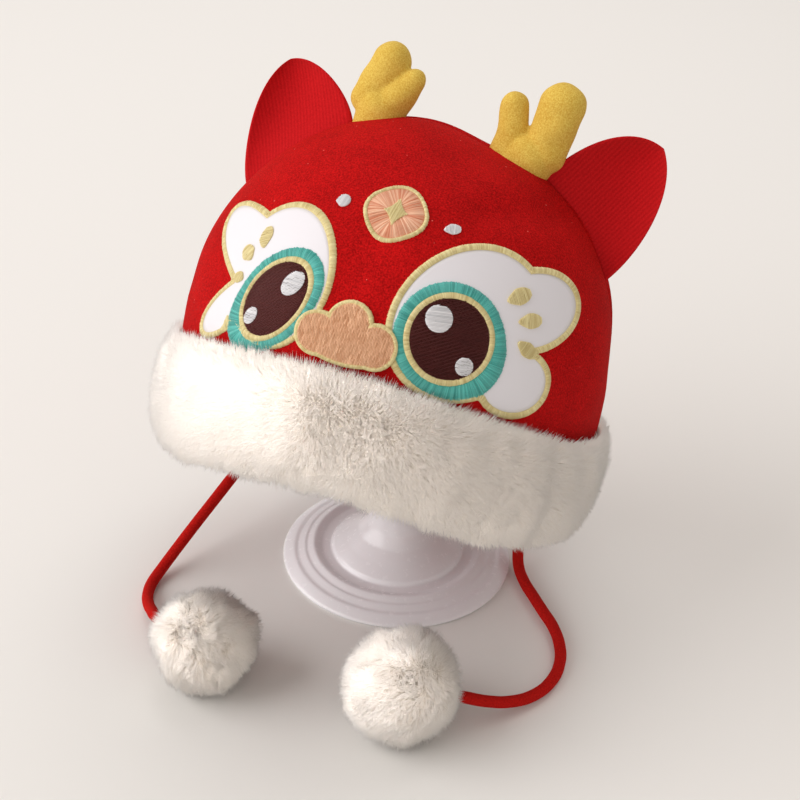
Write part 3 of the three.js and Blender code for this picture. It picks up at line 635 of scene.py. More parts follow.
def along_loop(loop, spacing):
    """Points at even steps along a closed loop, and the way inwards at each."""
    closed = np.vstack([loop, loop[:1]])
    travelled = np.concatenate([[0], np.cumsum(np.linalg.norm(np.diff(closed, axis=0), axis=1))])
    total = travelled[-1]
    at = np.arange(round(total / spacing)) * spacing

    def point(distance):
        return np.stack([np.interp(distance % total, travelled, closed[:, i]) for i in (0, 1)], -1)

    ahead = point(at + 0.0012) - point(at - 0.0012)
    area = np.sum(loop[:, 0] * np.roll(loop[:, 1], -1) - loop[:, 1] * np.roll(loop[:, 0], -1))
    inwards = unit(np.stack([-ahead[:, 1], ahead[:, 0]], -1)) * np.sign(area)
    return point(at), inwards


def backing(name, place, loop, low, high, hole=None, rows=6):
    """The thin cloth under a sewn shape, between two heights. hole is its inner edge, if it has one."""
    inner = np.zeros_like(loop) + np.mean(loop, axis=0) if hole is None else hole
    share = np.linspace(0, 1, rows)[None, :, None]
    flat = inner[:, None, :] * (1 - share) + loop[:, None, :] * share
    return wall_between(name, on_face(place, flat, high), on_face(place, flat, low), joined=True)


def thread_tree():
    """Makes a round thread of every line of the mesh, and joins the backing to it."""
    tree, given, made = new_tree("threads", {
        "Backing": "NodeSocketObject", "Thread": "NodeSocketFloat", "Finish": "NodeSocketMaterial"})
    lines = add(tree, "GeometryNodeMeshToCurve", {"Mesh": given["Geometry"]})
    section = add(tree, "GeometryNodeCurvePrimitiveCircle", {"Resolution": 4, "Radius": given["Thread"]})
    drawn = add(tree, "GeometryNodeCurveToMesh", {
        "Curve": lines, "Profile Curve": section, "Fill Caps": True})
    cloth = add(tree, "GeometryNodeObjectInfo", {"Object": given["Backing"]})
    real = add(tree, "GeometryNodeRealizeInstances", {"Geometry": out(cloth, "Geometry")})
    whole = add(tree, "GeometryNodeJoinGeometry", {0: drawn})
    fill(tree, whole, {0: real})
    smooth = add(tree, "GeometryNodeSetShadeSmooth", {"Geometry": whole})
    worn = add(tree, "GeometryNodeSetMaterial", {"Geometry": smooth, "Material": given["Finish"]})
    fill(tree, made, {"Geometry": worn})
    return tree


# Trilobal polyester embroidery thread: bright along each strand, and a little different from one to the
# next. The brown one in the irises is the glossiest, with a rosy shine.
THREADS = {
    "cream_thread": ("cream embroidery thread", "d2bd7e", "f5eab4", 0.45, {}),
    "teal_thread": ("teal embroidery thread", "2a938a", "68cfc4", 0.34, {"Sheen_Weight": 0.4}),
    "brown_thread": ("dark brown embroidery thread", "1e0909", "3a1514", 0.34, {
        "Sheen_Weight": 0.7, "Sheen_Tint": "f09490", "Specular_Tint": "ff9c94"}),
    "white_satin": ("white embroidery thread", "cfcfd2", "f6f5f6", 0.42, {}),
    "peach_thread": ("peach embroidery thread", "cc8e62", "fcd0a8", 0.5, {}),
    "orange_thread": ("soft orange embroidery thread", "cb6c42", "fad2b0", 0.45, {}),
}
thread_finish = {}
for slot, (name, dark, light, roughness, shine) in THREADS.items():
    thread_finish[slot], thread_nodes, thread_shader = new_material(name, light, Roughness=roughness, **{
        "Sheen_Weight": 0.15, "Sheen_Roughness": 0.35, "Specular_IOR_Level": 0.5, **shine})
    thread_tone = add(thread_nodes, "ShaderNodeAttribute", attribute_name="tone")
    thread_ramp = add(thread_nodes, "ShaderNodeValToRGB", {"Fac": out(thread_tone, "Fac")})
    thread_ramp.color_ramp.elements[0].color = colour(dark)
    thread_ramp.color_ramp.elements[1].color = colour(light)
    fill(thread_nodes, thread_shader, {"Base Color": thread_ramp})
thread_growth = thread_tree()
stitch_draw = np.random.default_rng(5)


def sewn(node, slot, cloth, place, starts, ends, low, top, thread, ragged=0.0):
    """Stitches from starts to ends, over a backing. They rise from low to top and go down again."""
    starts, ends = np.asarray(starts, float), np.asarray(ends, float)
    way = unit(ends - starts)
    starts = starts - way * stitch_draw.uniform(0, 1, len(starts))[:, None] * ragged
    rise = np.array([0, 0.7, 1, 0.7, 0])
    share = np.array([0, 0.16, 0.5, 0.84, 1])
    flat = starts[:, None, :] * (1 - share[:, None]) + ends[:, None, :] * share[:, None]
    height = low + (top - low) * rise + stitch_draw.normal(0, 0.00006, (len(starts), 1))
    points = on_face(place, flat, height)
    count = len(share)
    first = (np.arange(len(starts)) * count)[:, None] + np.arange(count - 1)
    edges = np.stack([first, first + 1], -1).reshape(-1, 2)
    piece = new_mesh(node + "_stitches", points.reshape(-1, 3), edges=edges)
    paired = np.repeat(stitch_draw.uniform(0, 1, len(starts) // 2 + 1), 2)[:len(starts)]
    store(piece, "tone", np.repeat(0.4 * paired + 0.6 * stitch_draw.uniform(0, 1, len(starts)), count))
    store(cloth, "tone", np.full(len(cloth.data.vertices), 0.3))
    grown(piece, thread_growth, Backing=cloth, Thread=thread, Finish=thread_finish[slot])
    bpy.data.objects.remove(cloth)
    finished(piece, slot, node)


def satin(node, slot, place, loop, hole, low, high, spacing=0.00046, ragged=0.0002, skirt=None):
    """A satin border between an outer loop and its hole, stitched straight across. skirt lowers its edges."""
    thread = 0.00023
    edge, inwards = along_loop(rounded(loop, 0.0006), spacing)
    width = np.min(np.linalg.norm(edge[:, None, :] - hole[None, :, :], axis=2), axis=1)
    foot = low if skirt is None else skirt
    cloth = backing(node + "_backing", place, loop, foot, high - thread * 1.3, hole, rows=4)
    sewn(node, slot, cloth, place, edge, edge + inwards * width[:, None], foot, high, thread, ragged)


def filled(node, slot, place, loop, low, high, angle, stitch=0.02, spacing=0.00050, thread=0.00024):
    """Rows of stitches that fill a loop. angle is the rows' turn from sideways."""
    turn = np.array([[math.cos(angle), math.sin(angle)], [-math.sin(angle), math.cos(angle)]])
    ring = loop @ turn.T
    low_row, high_row = ring[:, 1].min() + spacing, ring[:, 1].max() - spacing / 2
    starts, ends = [], []
    for row, level in enumerate(np.arange(low_row, high_row, spacing)):
        above = ring[:, 1] > level
        crossings = np.nonzero(above != np.roll(above, -1))[0]
        a, b = ring[crossings], ring[(crossings + 1) % len(ring)]
        cut = np.sort(a[:, 0] + (b[:, 0] - a[:, 0]) * (level - a[:, 1]) / (b[:, 1] - a[:, 1]))
        for left, right in zip(cut[0::2], cut[1::2]):
            shift = (row * 0.382 % 1) * stitch
            inside = np.arange(left - left % stitch + shift, right, stitch)
            inside = inside[(inside > left + 0.0006) & (inside < right - 0.0006)]
            stops = np.concatenate([[left], inside, [right]])
            starts += [(x, level) for x in stops[:-1]]
            ends += [(x, level) for x in stops[1:]]
    cloth = backing(node + "_backing", place, loop, low, high - thread * 1.2)
    sewn(node, slot, cloth, place, np.array(starts) @ turn, np.array(ends) @ turn, high - thread * 1.3, high,
         thread)


# White face cloth: a smooth close satin that is cut to shape and held down by its border. Its weave is
# finer than shows, so it is drawn as grain 0.6 mm wide.
satin_cloth, satin_nodes, satin_shader = new_material("white polyester satin", "e3e0e4", Roughness=0.55,
                                                      Sheen_Weight=0.2, Specular_IOR_Level=0.35)
satin_place = add(satin_nodes, "ShaderNodeTexCoord")
satin_weave = add(satin_nodes, "ShaderNodeTexNoise", {
    "Vector": out(satin_place, "Object"), "Scale": 1600, "Detail": 2})
satin_bump = add(satin_nodes, "ShaderNodeBump", {
    "Strength": 0.5, "Distance": 0.0001, "Height": satin_weave})
fill(satin_nodes, satin_shader, {"Normal": satin_bump})


# Eyes: a lobed white patch with a cream border, three cream drops, a teal ring, a thin cream ring, a dark
# iris of level rows, and two white highlights. The side lobes point outwards on both halves of the face.
def circle(radius, middle=(0, 0), steps=240, swell=0.0):
    """A round loop. swell widens it towards its lower outer side."""
    angle = np.arange(steps) * 2 * math.pi / steps
    reach = radius + swell * np.maximum(0, np.cos(angle + math.pi / 4)) ** 3
    return np.stack([middle[0] + reach * np.cos(angle), middle[1] + reach * np.sin(angle)], -1)


def drop(middle, long, short, turn, steps=120):
    """An oval loop that narrows towards the iris."""
    angle = np.arange(steps) * 2 * math.pi / steps
    reach = long * short / np.hypot(short * np.cos(angle), long * np.sin(angle))
    reach *= 1 - 0.42 * np.abs(np.sin(angle)) * np.maximum(0, -np.cos(angle)) ** 2
    angle = angle + turn
    return np.stack([middle[0] + reach * np.cos(angle), middle[1] + reach * np.sin(angle)], -1)


EYES = {
    "left": {
        "at": (-0.0355, 0.0222), "form": ((-0.835, 0.151), (-0.151, 1.016)), "shift": (0.0001, -0.0007),
        "lobes": [((0.0058, 0.0099), (0.0350, 0.0238), 43.4), ((0.0181, 0.0138), (0.0489, 0.0137), 25.9),
                  ((0.0254, -0.0046), (0.0202, 0.0113), -32.4)],
        "drops": (("upper", (0.0228, 0.0235), 0.0050, 0.0030, 62),
                  ("middle", (0.0280, 0.0164), 0.0046, 0.0029, 32),
                  ("lower", (0.0266, 0.0065), 0.0034, 0.0023, 12)),
        "highlights": (("large", (-0.0060, 0.0068), 0.0050), ("small", (0.0080, -0.0078), 0.0034)),
    },
    "right": {
        "at": (0.0332, 0.0240), "form": ((1, 0), (0, 1)), "shift": (0, 0),
        "lobes": [((0.0069, 0.0072), (0.0334, 0.0278), 43.5), ((0.0312, 0.0162), (0.0223, 0.0160), 24),
                  ((0.0284, -0.0117), (0.0160, 0.0136), 5)],
        "drops": (("upper", (0.0243, 0.0203), 0.0053, 0.0032, 29),
                  ("middle", (0.0302, 0.0121), 0.0050, 0.0029, 14),
                  ("lower", (0.0306, 0.0014), 0.0047, 0.0028, -28)),
        "highlights": (("large", (-0.0054, 0.0067), 0.0051), ("small", (0.0070, -0.0090), 0.0034)),
    },
}

for hand, eye in EYES.items():
    eye_place = frame_at(*eye["at"])

    def laid(loop):
        """A loop of the right eye's form, as it lies on this side of the hat."""
        return loop @ np.array(eye["form"]).T + np.array(eye["shift"])

    patch = backing(f"eye_patch_{hand}_cloth", eye_place, laid(lobed(eye["lobes"], inset=0.0020)[::3]),
                    0.00005, 0.00045, rows=16)
    patch.data.materials.append(satin_cloth)
    finished(patch, "white_satin", f"eye_patch_{hand}")
    satin(f"patch_border_{hand}", "cream_thread", eye_place, laid(lobed(eye["lobes"])),
          laid(lobed(eye["lobes"], inset=0.0024)), 0.0001, 0.00095)
    satin(f"eye_ring_{hand}", "teal_thread", eye_place, laid(circle(0.0209, swell=0.0033)),
          laid(circle(0.0170)), 0.0005, 0.00115, ragged=0.0004)
    satin(f"ring_border_{hand}", "cream_thread", eye_place, laid(circle(0.0172)), laid(circle(0.0150)),
          0.0005, 0.0013)
    filled(f"iris_{hand}", "brown_thread", eye_place, laid(circle(0.0151)), 0.0005, 0.00105, 0.06,
           stitch=0.0034)
    for size, middle, radius in eye["highlights"]:
        filled(f"highlight_{size}_{hand}", "white_satin", eye_place, laid(circle(radius, middle, 90)),
               0.0009, 0.0015, 0.06)
    for size, middle, long, short, turn in eye["drops"]:
        turn = math.radians(turn)
        filled(f"drop_{size}_{hand}", "cream_thread", eye_place, laid(drop(middle, long, short, turn)),
               0.0004, 0.0011, math.pi / 2 + turn * (1 if hand == "right" else -1))


# Nose: a peach cloud of three lobes over a wide oval, filled with upright rows, with a cream border that
# laps over the inner edges of both eyes.
nose_place = frame_at(-0.0025, 0.0167)
nose_lobes = [((-0.0010, 0.0052), (0.0089, 0.0084), 0), ((-0.0122, -0.0016), (0.0088, 0.0085), 0),
              ((0.0104, -0.0012), (0.0084, 0.0088), 0), ((-0.0008, -0.0037), (0.0170, 0.0073), 0)]
filled("nose", "peach_thread", nose_place, lobed(nose_lobes, inset=0.0013), 0.0008, 0.0019, math.radians(84),
       stitch=0.0019, spacing=0.00048, thread=0.00023)
satin("nose_border", "cream_thread", nose_place, lobed(nose_lobes), lobed(nose_lobes, inset=0.0017), 0.0008,
      0.0021, skirt=0.0002)


# Coin: an old round coin on the forehead, sewn outwards from its middle, with a pale star for its hole. A
# white dot sits on each side of it.
coin_place = frame_at(0.0003, 0.0626)
coin_angle = np.arange(240) * 2 * math.pi / 240
coin_ray = np.stack([np.cos(coin_angle), np.sin(coin_angle)], -1)


def coin_loop(radius):
    """A circle with four slightly fuller sides, turned a little, as the sewn coin is."""
    return radius * (1 + 0.035 * np.cos(4 * (coin_angle - math.radians(80))))[:, None] * coin_ray


star = (0.0048, 0.0066) * coin_ray / np.sum(np.abs(coin_ray) ** 0.72, axis=1, keepdims=True) ** (1 / 0.72)
satin("coin", "orange_thread", coin_place, coin_loop(0.0112), circle(0.0024), 0.0001, 0.0008, spacing=0.00050)
satin("coin_border", "cream_thread", coin_place, coin_loop(0.0122), coin_loop(0.0108), 0.0001, 0.00095)
filled("coin_star", "cream_thread", coin_place, star, 0.0003, 0.0012, math.radians(80))
for name, x, z, long, short, turn in (("forehead_dot_left", -0.0208, 0.0615, 0.0029, 0.0027, 20),
                                      ("forehead_dot_right", 0.0223, 0.0612, 0.0034, 0.0021, 15)):
    filled(name, "white_satin", frame_at(x, z), drop((0, 0), long, short, math.radians(turn)), 0.0001, 0.0009,
           math.pi / 2)


# Ears: cupped pads of fine red rib knit over a thin filling, turned right side out and sewn into the seam
# at their roots. The wales run from root to tip, 1.6 mm apart, and the yarn's fuzz shows as 0.7 mm grain. The
# grooves between the wales are also painted darker, as painted shade.
WALE = 0.0016
EAR_THIN = 0.0024
EAR_FULLER = 0.0018
EAR_ROUNDING = 0.0016
knit, knit_nodes, knit_shader = new_material("fine acrylic rib knit", "c5161c", Roughness=0.92,
                                             Sheen_Weight=0.25, Sheen_Roughness=0.45, Sheen_Tint="ff5a48",
                                             Specular_IOR_Level=0.12)
knit_across = add(knit_nodes, "ShaderNodeAttribute", attribute_name="across")
knit_wave = add(knit_nodes, "ShaderNodeMath", {0: out(knit_across, "Fac"), 1: 2 * math.pi / WALE},
                operation="MULTIPLY")
knit_wale = add(knit_nodes, "ShaderNodeMath", {0: knit_wave}, operation="SINE")
knit_place = add(knit_nodes, "ShaderNodeTexCoord")
knit_fuzz = add(knit_nodes, "ShaderNodeTexNoise", {
    "Vector": out(knit_place, "Object"), "Scale": 1400, "Detail": 3, "Roughness": 0.65})
knit_height = add(knit_nodes, "ShaderNodeMath", {0: knit_wale, 1: 0.12, 2: knit_fuzz},
                  operation="MULTIPLY_ADD")
knit_relief = add(knit_nodes, "ShaderNodeBump", {
    "Strength": 0.8, "Distance": 0.00012, "Height": knit_height})
# The colour follows the relief height: the fuzz gives random tone, and the grooves between wales are painted
# shade.
knit_shade_and_fuzz = add(knit_nodes, "ShaderNodeMapRange", {"Value": knit_height, "From Min": 0.1, "From Max": 0.9})
knit_shade_and_fuzz_ramp = add(knit_nodes, "ShaderNodeValToRGB", {"Fac": knit_shade_and_fuzz})
knit_shade_and_fuzz_ramp.color_ramp.elements[0].color = colour("a40b10")
knit_shade_and_fuzz_ramp.color_ramp.elements[1].color = colour("d01c21")
fill(knit_nodes, knit_shader, {"Base Color": knit_shade_and_fuzz_ramp, "Normal": knit_relief})


def bezier(points, share):
    """Points on a cubic curve at shares from 0 to 1."""
    a, b, c, d = (np.asarray(p, float) for p in points)
    t = share[:, None]
    return a * (1 - t) ** 3 + 3 * b * t * (1 - t) ** 2 + 3 * c * t * t * (1 - t) + d * t ** 3


def ear(name, side, root_from, root_to, tip, lean_back, turn_out, outer, inner, hollow):
    """An ear whose root follows the seam between two turns. Its outline is from the root's middle."""
    across, up = 56, 50

    def root(turn):
        turn = np.radians(turn)
        return np.stack([side * HALF_WIDTH * np.cos(turn), 0 * turn, HEIGHT * np.sin(turn)], -1)

    start, end = root(np.array(root_from)), root(np.array(root_to))
    middle = (start + end) / 2
    inwards = unit(end - start)
    outwards = np.array([side * inwards[2], 0, -side * inwards[0]])
    half = np.linalg.norm(end - start) / 2
    v = np.linspace(0, 1, up)
    u = np.linspace(0, 1, across)[:, None]
    left = bezier([(-half, 0), *outer, tip], v)
    right = bezier([(half, 0), *inner, tip], v)
    flat = left[None] * (1 - u[..., None]) + right[None] * u[..., None]
    seat = root(root_from + (root_to - root_from) * u[:, 0])
    bulge = (seat - middle) @ outwards - 0.0012
    height = flat[..., 1] + bulge[:, None] * (1 - v) ** 2
    middleness = 1 - (2 * u - 1) ** 2
    thickness = EAR_THIN + EAR_FULLER * middleness * (1 - v)
    width = np.linalg.norm(right - left, axis=1)
    to_side = np.minimum(u, 1 - u) * width
    to_top = np.minimum((1 - v) * 0.045, 1)[None, :] + 0 * u
    edge = np.clip(np.minimum(to_side, to_top) / EAR_ROUNDING, 0, 1)
    thickness = thickness * np.sqrt(np.clip(1 - (1 - edge) ** 2, 0.02, 1))
    cup = hollow * middleness * np.sin(math.pi * (0.1 + 0.9 * v))
    depth = math.tan(math.radians(lean_back)) * flat[..., 1] + cup \
        - math.tan(math.radians(turn_out)) * flat[..., 0] * smooth_step(v, 0, 0.5)
    base = middle + flat[..., :1] * inwards + height[..., None] * outwards
    sides = [base + (depth + sign * thickness / 2)[..., None] * (0, 1, 0) for sign in (-1, 1)]
    wales = flat[..., 0] - (left[:, 0] + right[:, 0])[None] / 2
    piece = wall_between(name + "_knit", on_hat(sides[0]), on_hat(sides[1]))
    grid = KDTree(2 * wales.size)
    for index, place in enumerate(on_hat(np.reshape(sides, (-1, 3)))):
        grid.insert(place, index)
    grid.balance()
    nearest = [grid.find(place)[1] for place in points_of(piece)]
    store(piece, "across", wales.ravel()[np.array(nearest) % wales.size])
    piece.data.materials.append(knit)
    finished(piece, "red_rib_knit", name)


ear("ear_left", -1, 30.2, 64.2, (0.0168, 0.0352), 8, 5, [(-0.024, 0.013), (-0.002, 0.037)],
    [(0.033, 0.013), (0.0278, 0.0315)], 0.008)
ear("ear_right", 1, 30.2, 61.0, (0.0095, 0.0457), 3, 0, [(-0.022, 0.018), (-0.008, 0.042)],
    [(0.0285, 0.016), (0.0265, 0.040)], 0.013)


# Horns: stuffed bags of yellow velour with rounded branches, sewn on the seam. Each branch is a
# round-ended lobe, and the cloth creases where two of them meet.
horn_velour, horn_nodes, horn_shader = new_material("yellow polyester velour", "c8a344", Roughness=0.85,
                                                    Sheen_Weight=0.3, Sheen_Roughness=0.4,
                                                    Sheen_Tint="ffdc88", Specular_IOR_Level=0.15)
add_nap(horn_nodes, horn_shader, "c69a36", "e2c660", 0.0006, 0.00016, clouds=0.009)


def add_lobe(whole, start, end, from_radius, to_radius):
    """Adds a round-ended tapered body between two points of the hat."""
    start, end = Vector(start), Vector(end)
    length = (end - start).length
    turn = (end - start).to_track_quat("Z", "Y").to_matrix()
    rings, sides = 14, 28
    profile = [(from_radius * math.cos(a), from_radius * math.sin(a))
               for a in np.linspace(-math.pi / 2, 0, rings)]
    profile += [(to_radius * math.cos(a), length + to_radius * math.sin(a))
                for a in np.linspace(0.1, math.pi / 2, rings)]
    around = [2 * math.pi * k / sides for k in range(sides)]
    rows = [[whole.verts.new(start + turn @ Vector((radius * math.cos(a), radius * math.sin(a), height)))
             for a in around] for radius, height in profile]
    for low, high in zip(rows, rows[1:]):
        for k in range(sides):
            whole.faces.new((low[k], low[(k + 1) % sides], high[(k + 1) % sides], high[k]))


def horn(name, lobes):
    """A horn of these lobes, joined and eased, a little flattened, whose root stays out of the crown."""
    whole = bmesh.new()
    for lobe in lobes:
        add_lobe(whole, *lobe)
    bmesh.ops.remove_doubles(whole, verts=whole.verts, dist=1e-6)
    bmesh.ops.recalc_face_normals(whole, faces=whole.faces)
    mesh = bpy.data.meshes.new(name)
    whole.to_mesh(mesh)
    whole.free()
    piece = placed(name + "_velour", mesh)
    joined = piece.modifiers.new("joined", "REMESH")
    joined.mode = "VOXEL"
    joined.voxel_size = 0.0007
    eased = piece.modifiers.new("eased", "SMOOTH")
    eased.factor = 0.5
    eased.iterations = 3
    made_plain(piece)
    points = points_of(piece)
    points[:, 1] *= 0.9
    points = points + ripple(points, 0.011, 8)[:, None] * 0.0003 * unit(points - points.mean(axis=0))
    x, y, z = points.T
    sag = top_sag(x, z)
    depth = np.where(y <= 0, FRONT_DEPTH, BACK_DEPTH)
    reach = np.sqrt((x / (HALF_WIDTH - 0.001)) ** 2 + (y / (depth - 0.001)) ** 2
                    + ((z + sag) / (HEIGHT - 0.001)) ** 2)
    inside = reach < 1
    points[inside] /= reach[inside][:, None]
    points[inside, 2] -= (sag * (1 - 1 / np.maximum(reach, 0.5)))[inside]
    move_points(piece, on_hat(points))
    for face in piece.data.polygons:
        face.use_smooth = True
    piece.data.materials.clear()
    piece.data.materials.append(horn_velour)
    finished(piece, "yellow_velour", name)


horn("horn_left", [((-0.0285, 0, 0.084), (-0.0285, -0.001, 0.0910), 0.0102, 0.0095),
                   ((-0.0255, -0.0015, 0.0925), (-0.0170, -0.0015, 0.1058), 0.0086, 0.0049),
                   ((-0.0343, 0.0010, 0.0950), (-0.0282, 0.0010, 0.1109), 0.0074, 0.0082)])
horn("horn_right", [((0.0314, 0, 0.081), (0.0355, -0.001, 0.0860), 0.0112, 0.0108),
                    ((0.0411, -0.001, 0.0900), (0.0438, -0.001, 0.1095), 0.0086, 0.0097),
                    ((0.0268, 0.0005, 0.0870), (0.0261, 0.0005, 0.0985), 0.0080, 0.0060),
                    ((0.0261, 0.0005, 0.0985), (0.0250, 0.0005, 0.1058), 0.0060, 0.0057)])


# Fur band: a folded strip of the plush, sewn around the rim with its pile outwards, in three lengths
# whose pile laps over the joins. It stands up over the face at the top edge, hangs at the bottom one and
# is brushed sideways.
BAND_INSIDE = 0.72
BAND_THICK = 0.007
BAND_THICKER_AT_FACE = 0.004
BAND_STANDS_OFF = 0.0026
CROWN_GAP = 0.00065
PILE_DEPTH = 0.0028


def band_place(longitude, turn, inset):
    """A point of the band's section. turn 0 is its outer side, a quarter turn its top edge."""
    middle = (band_top(longitude) + band_bottom(longitude)) / 2
    half_height = (band_top(longitude) - band_bottom(longitude)) / 2
    up = np.sign(np.sin(turn)) * np.abs(np.sin(turn)) ** 0.6
    across = (np.maximum(-BAND_INSIDE, np.cos(turn)) + BAND_INSIDE) / (1 + BAND_INSIDE)
    stand_off = front_share(longitude) * smooth_step(up, -0.2, 0.5) * BAND_STANDS_OFF
    depth = np.where(np.cos(longitude) >= 0, FRONT_DEPTH, BACK_DEPTH)
    z = middle + (half_height - inset * 0.75) * up
    wall = np.stack([half_width_at(z) * np.sin(longitude), -depth * np.cos(longitude), 0 * z], -1)
    thickness = BAND_THICK + BAND_THICKER_AT_FACE * front_share(longitude)
    outer_side = across * thickness - inset * smooth_step(across, 0.1, 0.75)
    outwards = np.maximum(CROWN_GAP + stand_off, outer_side)
    points = wall + crown_normal(wall) * outwards[..., None]
    points[..., 2] = z
    return points


def fur_length(name, first, last, around, seed, density, width):
    """One length of the band between two turns around the hat, in degrees from the middle of the face."""
    section = 44
    longitude = np.radians(np.linspace(first, last, around))[:, None] + np.zeros((1, section))
    turn = (np.arange(section) * 2 * math.pi / section)[None, :] + np.zeros((around, 1))
    points = band_place(longitude, turn, PILE_DEPTH)
    ahead = band_place(longitude + 0.004, turn, PILE_DEPTH) - band_place(longitude - 0.004, turn, PILE_DEPTH)
    rising = band_place(longitude, turn + 0.01, PILE_DEPTH) - band_place(longitude, turn - 0.01, PILE_DEPTH)
    normals = unit(np.cross(ahead, rising))
    seen = np.cos(turn) > -0.45
    relief = ripple(points, 0.016, 31) * 0.0005 + ripple(points, 0.006, 32) * 0.0002
    points = points + normals * (relief * np.clip(np.cos(turn) + 0.2, 0, 1))[..., None]
    upwards, sideways = unit(rising), unit(ahead)
    level = np.sin(turn)
    comb_up = 0.75 * smooth_step(level, 0.15, 0.9) - 0.6 * smooth_step(-level, -0.2, 0.7)
    right = np.sin(longitude)
    comb_across = 0.12 + 0.4 * smooth_step(right, 0, 0.7) - 0.5 * smooth_step(-right, 0, 0.6)
    for join, over in ((first, -0.25), (last, 0.25)):
        comb_across = comb_across + over * np.exp(-((longitude - math.radians(join)) / 0.035) ** 2)
    comb_up = comb_up + 0.12 * ripple(points, 0.012, 34)
    comb_across = comb_across + (0.18 + 0.3 * smooth_step(-level, 0.3, 0.9)) * ripple(points, 0.020, 33)
    lean = normals * 0.8 + upwards * comb_up[..., None] + sideways * comb_across[..., None]
    count = points.shape[0] * section
    index = np.arange(count).reshape(around, section)
    after = np.roll(index, -1, axis=1)
    faces = np.stack([index[:-1], index[1:], after[1:], after[:-1]], -1).reshape(-1, 4).tolist()
    caps = np.concatenate([points[0], points[-1]])
    faces.append(list(range(count + section - 1, count - 1, -1)))
    faces.append(list(range(count + section, count + 2 * section)))
    piece = new_mesh(name, on_hat(np.concatenate([points.reshape(-1, 3), caps])), faces)
    lean = unit(lean).reshape(-1, 3) @ np.array(HAT_PLACE.to_3x3()).T
    store(piece, "lean", np.concatenate([lean, np.zeros((2 * section, 3))]))
    store(piece, "cover", np.concatenate([seen.astype(float).ravel(), np.zeros(2 * section)]))
    # The backing takes a colour near the ramp's dark end: painted shade deep in the pile.
    store(piece, "along", np.full(count + 2 * section, 0.25))
    furred(piece, seed, width, 0.0005, Density=density, Tufts=3.2e5, Length=0.0056, Pull=0.4, Stray=0.0012)
    finished(piece, "white_fur", "fur_band")


fur_length("fur_front", -55, 55, 96, 41, 6.7e6, 0.00042)
fur_length("fur_right", 55, 180, 84, 43, 3.3e6, 0.00052)
fur_length("fur_left", 180, 305, 84, 44, 3.3e6, 0.00052)


# Stand: thin glossy polystyrene, moulded in white. The base is a disc with low rings that rises to a
# bell, the stem stands in it, and the dome on the stem carries the hat from inside. Its skin is wavy over
# 17 mm, as moulded plastic is, and handling has left it glossier in some 2 mm spots than in others.
plastic, plastic_nodes, plastic_shader = new_material("white moulded polystyrene", "f3f1f4", Roughness=0.24,
                                                      IOR=1.55, Specular_IOR_Level=0.5)
plastic_place = add(plastic_nodes, "ShaderNodeTexCoord")
plastic_wave = add(plastic_nodes, "ShaderNodeTexNoise", {
    "Vector": out(plastic_place, "Object"), "Scale": 60, "Detail": 2})
plastic_scuff = add(plastic_nodes, "ShaderNodeTexNoise", {
    "Vector": out(plastic_place, "Object"), "Scale": 420, "Detail": 4, "Roughness": 0.6})
plastic_gloss = add(plastic_nodes, "ShaderNodeMapRange", {
    "Value": plastic_scuff, "From Min": 0.3, "From Max": 0.7, "To Min": 0.17, "To Max": 0.3})
plastic_relief = add(plastic_nodes, "ShaderNodeBump", {
    "Strength": 0.25, "Distance": 0.0002, "Height": plastic_wave})
fill(plastic_nodes, plastic_shader, {"Roughness": plastic_gloss, "Normal": plastic_relief})


def eased_corners(profile, reach):
    """A profile of (radius, height) points with each corner rounded over a reach."""
    profile = [np.array(p, float) for p in profile]
    made = [profile[0]]
    for before, corner, after in zip(profile, profile[1:], profile[2:]):
        back, ahead = before - corner, after - corner
        start = corner + unit(back) * min(reach, np.linalg.norm(back) * 0.45)
        end = corner + unit(ahead) * min(reach, np.linalg.norm(ahead) * 0.45)
        for share in np.linspace(0, 1, 4):
            made.append(start * (1 - share) ** 2 + corner * 2 * share * (1 - share) + end * share ** 2)
    return made + [profile[-1]]


def turned(name, profile, node, sides=144):
    """A closed body turned about the stand's axis from a profile that starts and ends on it."""
    rows = np.array(profile)
    turn = np.arange(sides) * 2 * math.pi / sides
    points = np.stack([rows[:, :1] * np.cos(turn), rows[:, :1] * np.sin(turn), rows[:, 1:] + 0 * turn], -1)
    index = np.arange(points.shape[0] * sides).reshape(-1, sides)
    after = np.roll(index, -1, axis=1)
    faces = np.stack([index[:-1], after[:-1], after[1:], index[1:]], -1).reshape(-1, 4)
    piece = cleaned(new_mesh(name, points.reshape(-1, 3), faces))
    piece.data.materials.append(plastic)
    finished(piece, "white_plastic", node)


BASE_PROFILE = [(0, 0), (0.0502, 0), (0.0511, 0.0008), (0.0504, 0.0018), (0.0462, 0.0041), (0.0444, 0.0040),
                (0.0414, 0.0055), (0.0402, 0.0054), (0.0374, 0.0070), (0.0360, 0.0066), (0.0336, 0.0056),
                (0.0294, 0.0056), (0.0286, 0.0074), (0.0228, 0.0114), (0.0176, 0.0156), (0.0138, 0.0206),
                (0.0116, 0.0270), (0.0110, 0.0340), (0, 0.0340)]
turned("base_shell", eased_corners(BASE_PROFILE, 0.0009), "stand_base")

stem_low, stem_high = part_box("stand_stem")[0][2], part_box("stand_stem")[1][2]
STEM_PROFILE = [(0, stem_low), (0.0105, stem_low), (0.0105, stem_low + 0.003), (0.0085, stem_low + 0.0045),
                (0.0085, stem_high), (0, stem_high)]
turned("stem_tube", eased_corners(STEM_PROFILE, 0.0006), "stand_stem")

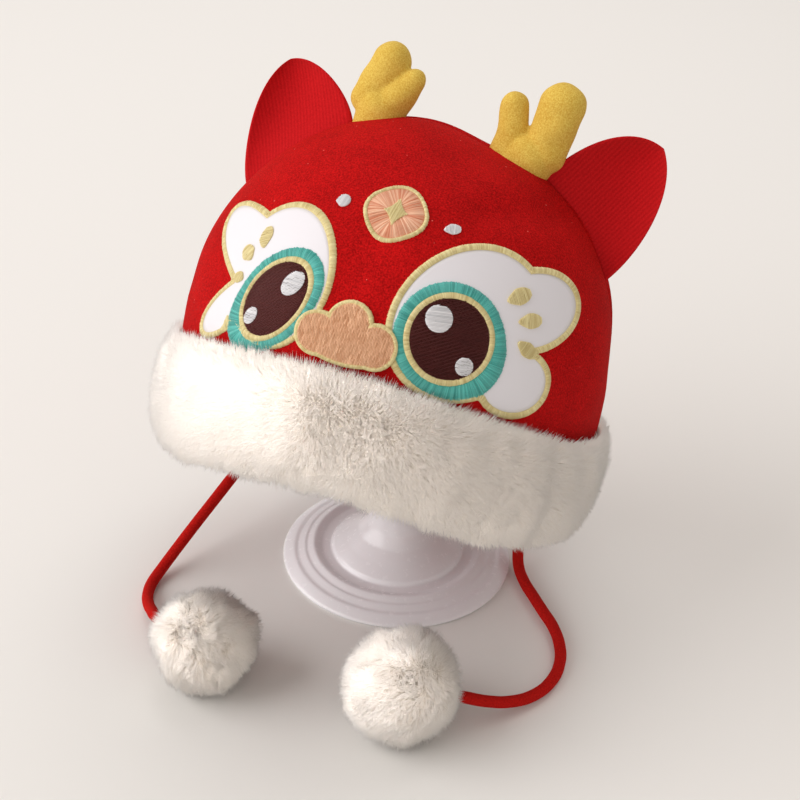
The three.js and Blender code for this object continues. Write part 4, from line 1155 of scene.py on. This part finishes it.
DOME_OUTSIDE = 0.066
DOME_INSIDE = 0.0634
DOME_EDGE = math.radians(66)
HUB = 0.012
HUB_DROP = 0.014
dome_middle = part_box("stand_dome")[1][2] - DOME_OUTSIDE
hub_low = dome_middle + math.sqrt(DOME_INSIDE ** 2 - HUB ** 2) - HUB_DROP
inside_turn = np.linspace(math.asin(HUB / DOME_INSIDE), DOME_EDGE, 12)
outside_turn = np.linspace(DOME_EDGE, 0, 20)
dome_profile = [(0, hub_low), (HUB, hub_low)]
dome_profile += [(DOME_INSIDE * math.sin(a), dome_middle + DOME_INSIDE * math.cos(a)) for a in inside_turn]
dome_profile += [(DOME_OUTSIDE * math.sin(a), dome_middle + DOME_OUTSIDE * math.cos(a)) for a in outside_turn]
turned("dome_shell", dome_profile, "stand_dome")


# Floor and light: a plain pale table, one large soft window on the left, a weak card in front, a weak
# lamp above and weak light from all around.
floor = new_mesh("floor", [(-3, -3, 0), (3, -3, 0), (3, 3, 0), (-3, 3, 0)], [(0, 1, 2, 3)])
floor_paint = new_material("matt floor paint", "ebe9e5", Roughness=0.9)[0]
floor.data.materials.append(floor_paint)


def soft_lamp(name, size, energy, tint, way, distance):
    """A round soft lamp that looks at the hat from a direction."""
    lamp = bpy.data.lights.new(name, "AREA")
    lamp.shape = "DISK"
    lamp.size = size
    lamp.energy = energy
    lamp.color = tint
    way = Vector(way).normalized()
    placed(name, lamp).matrix_world = Matrix.Translation(Vector((0, 0, 0.1)) + way * distance) \
        @ way.to_track_quat("Z", "Y").to_matrix().to_4x4()


soft_lamp("window", 3.0, 62, (1.0, 0.98, 0.985), (-0.82, -0.42, 0.50), 2.8)
soft_lamp("front_card", 2.6, 10, (1.0, 0.955, 0.93), (0.10, -0.95, 0.20), 2.2)
soft_lamp("overhead", 1.2, 5, (1.0, 0.99, 1.0), (-0.05, 0.62, 1.0), 1.3)

world = bpy.data.worlds.new("room")
world.use_nodes = True
world.node_tree.nodes["Background"].inputs["Color"].default_value = (1.0, 0.935, 0.88, 1)
world.node_tree.nodes["Background"].inputs["Strength"].default_value = 0.51
bpy.context.scene.world = world
bpy.context.scene.view_settings.view_transform = "Standard"
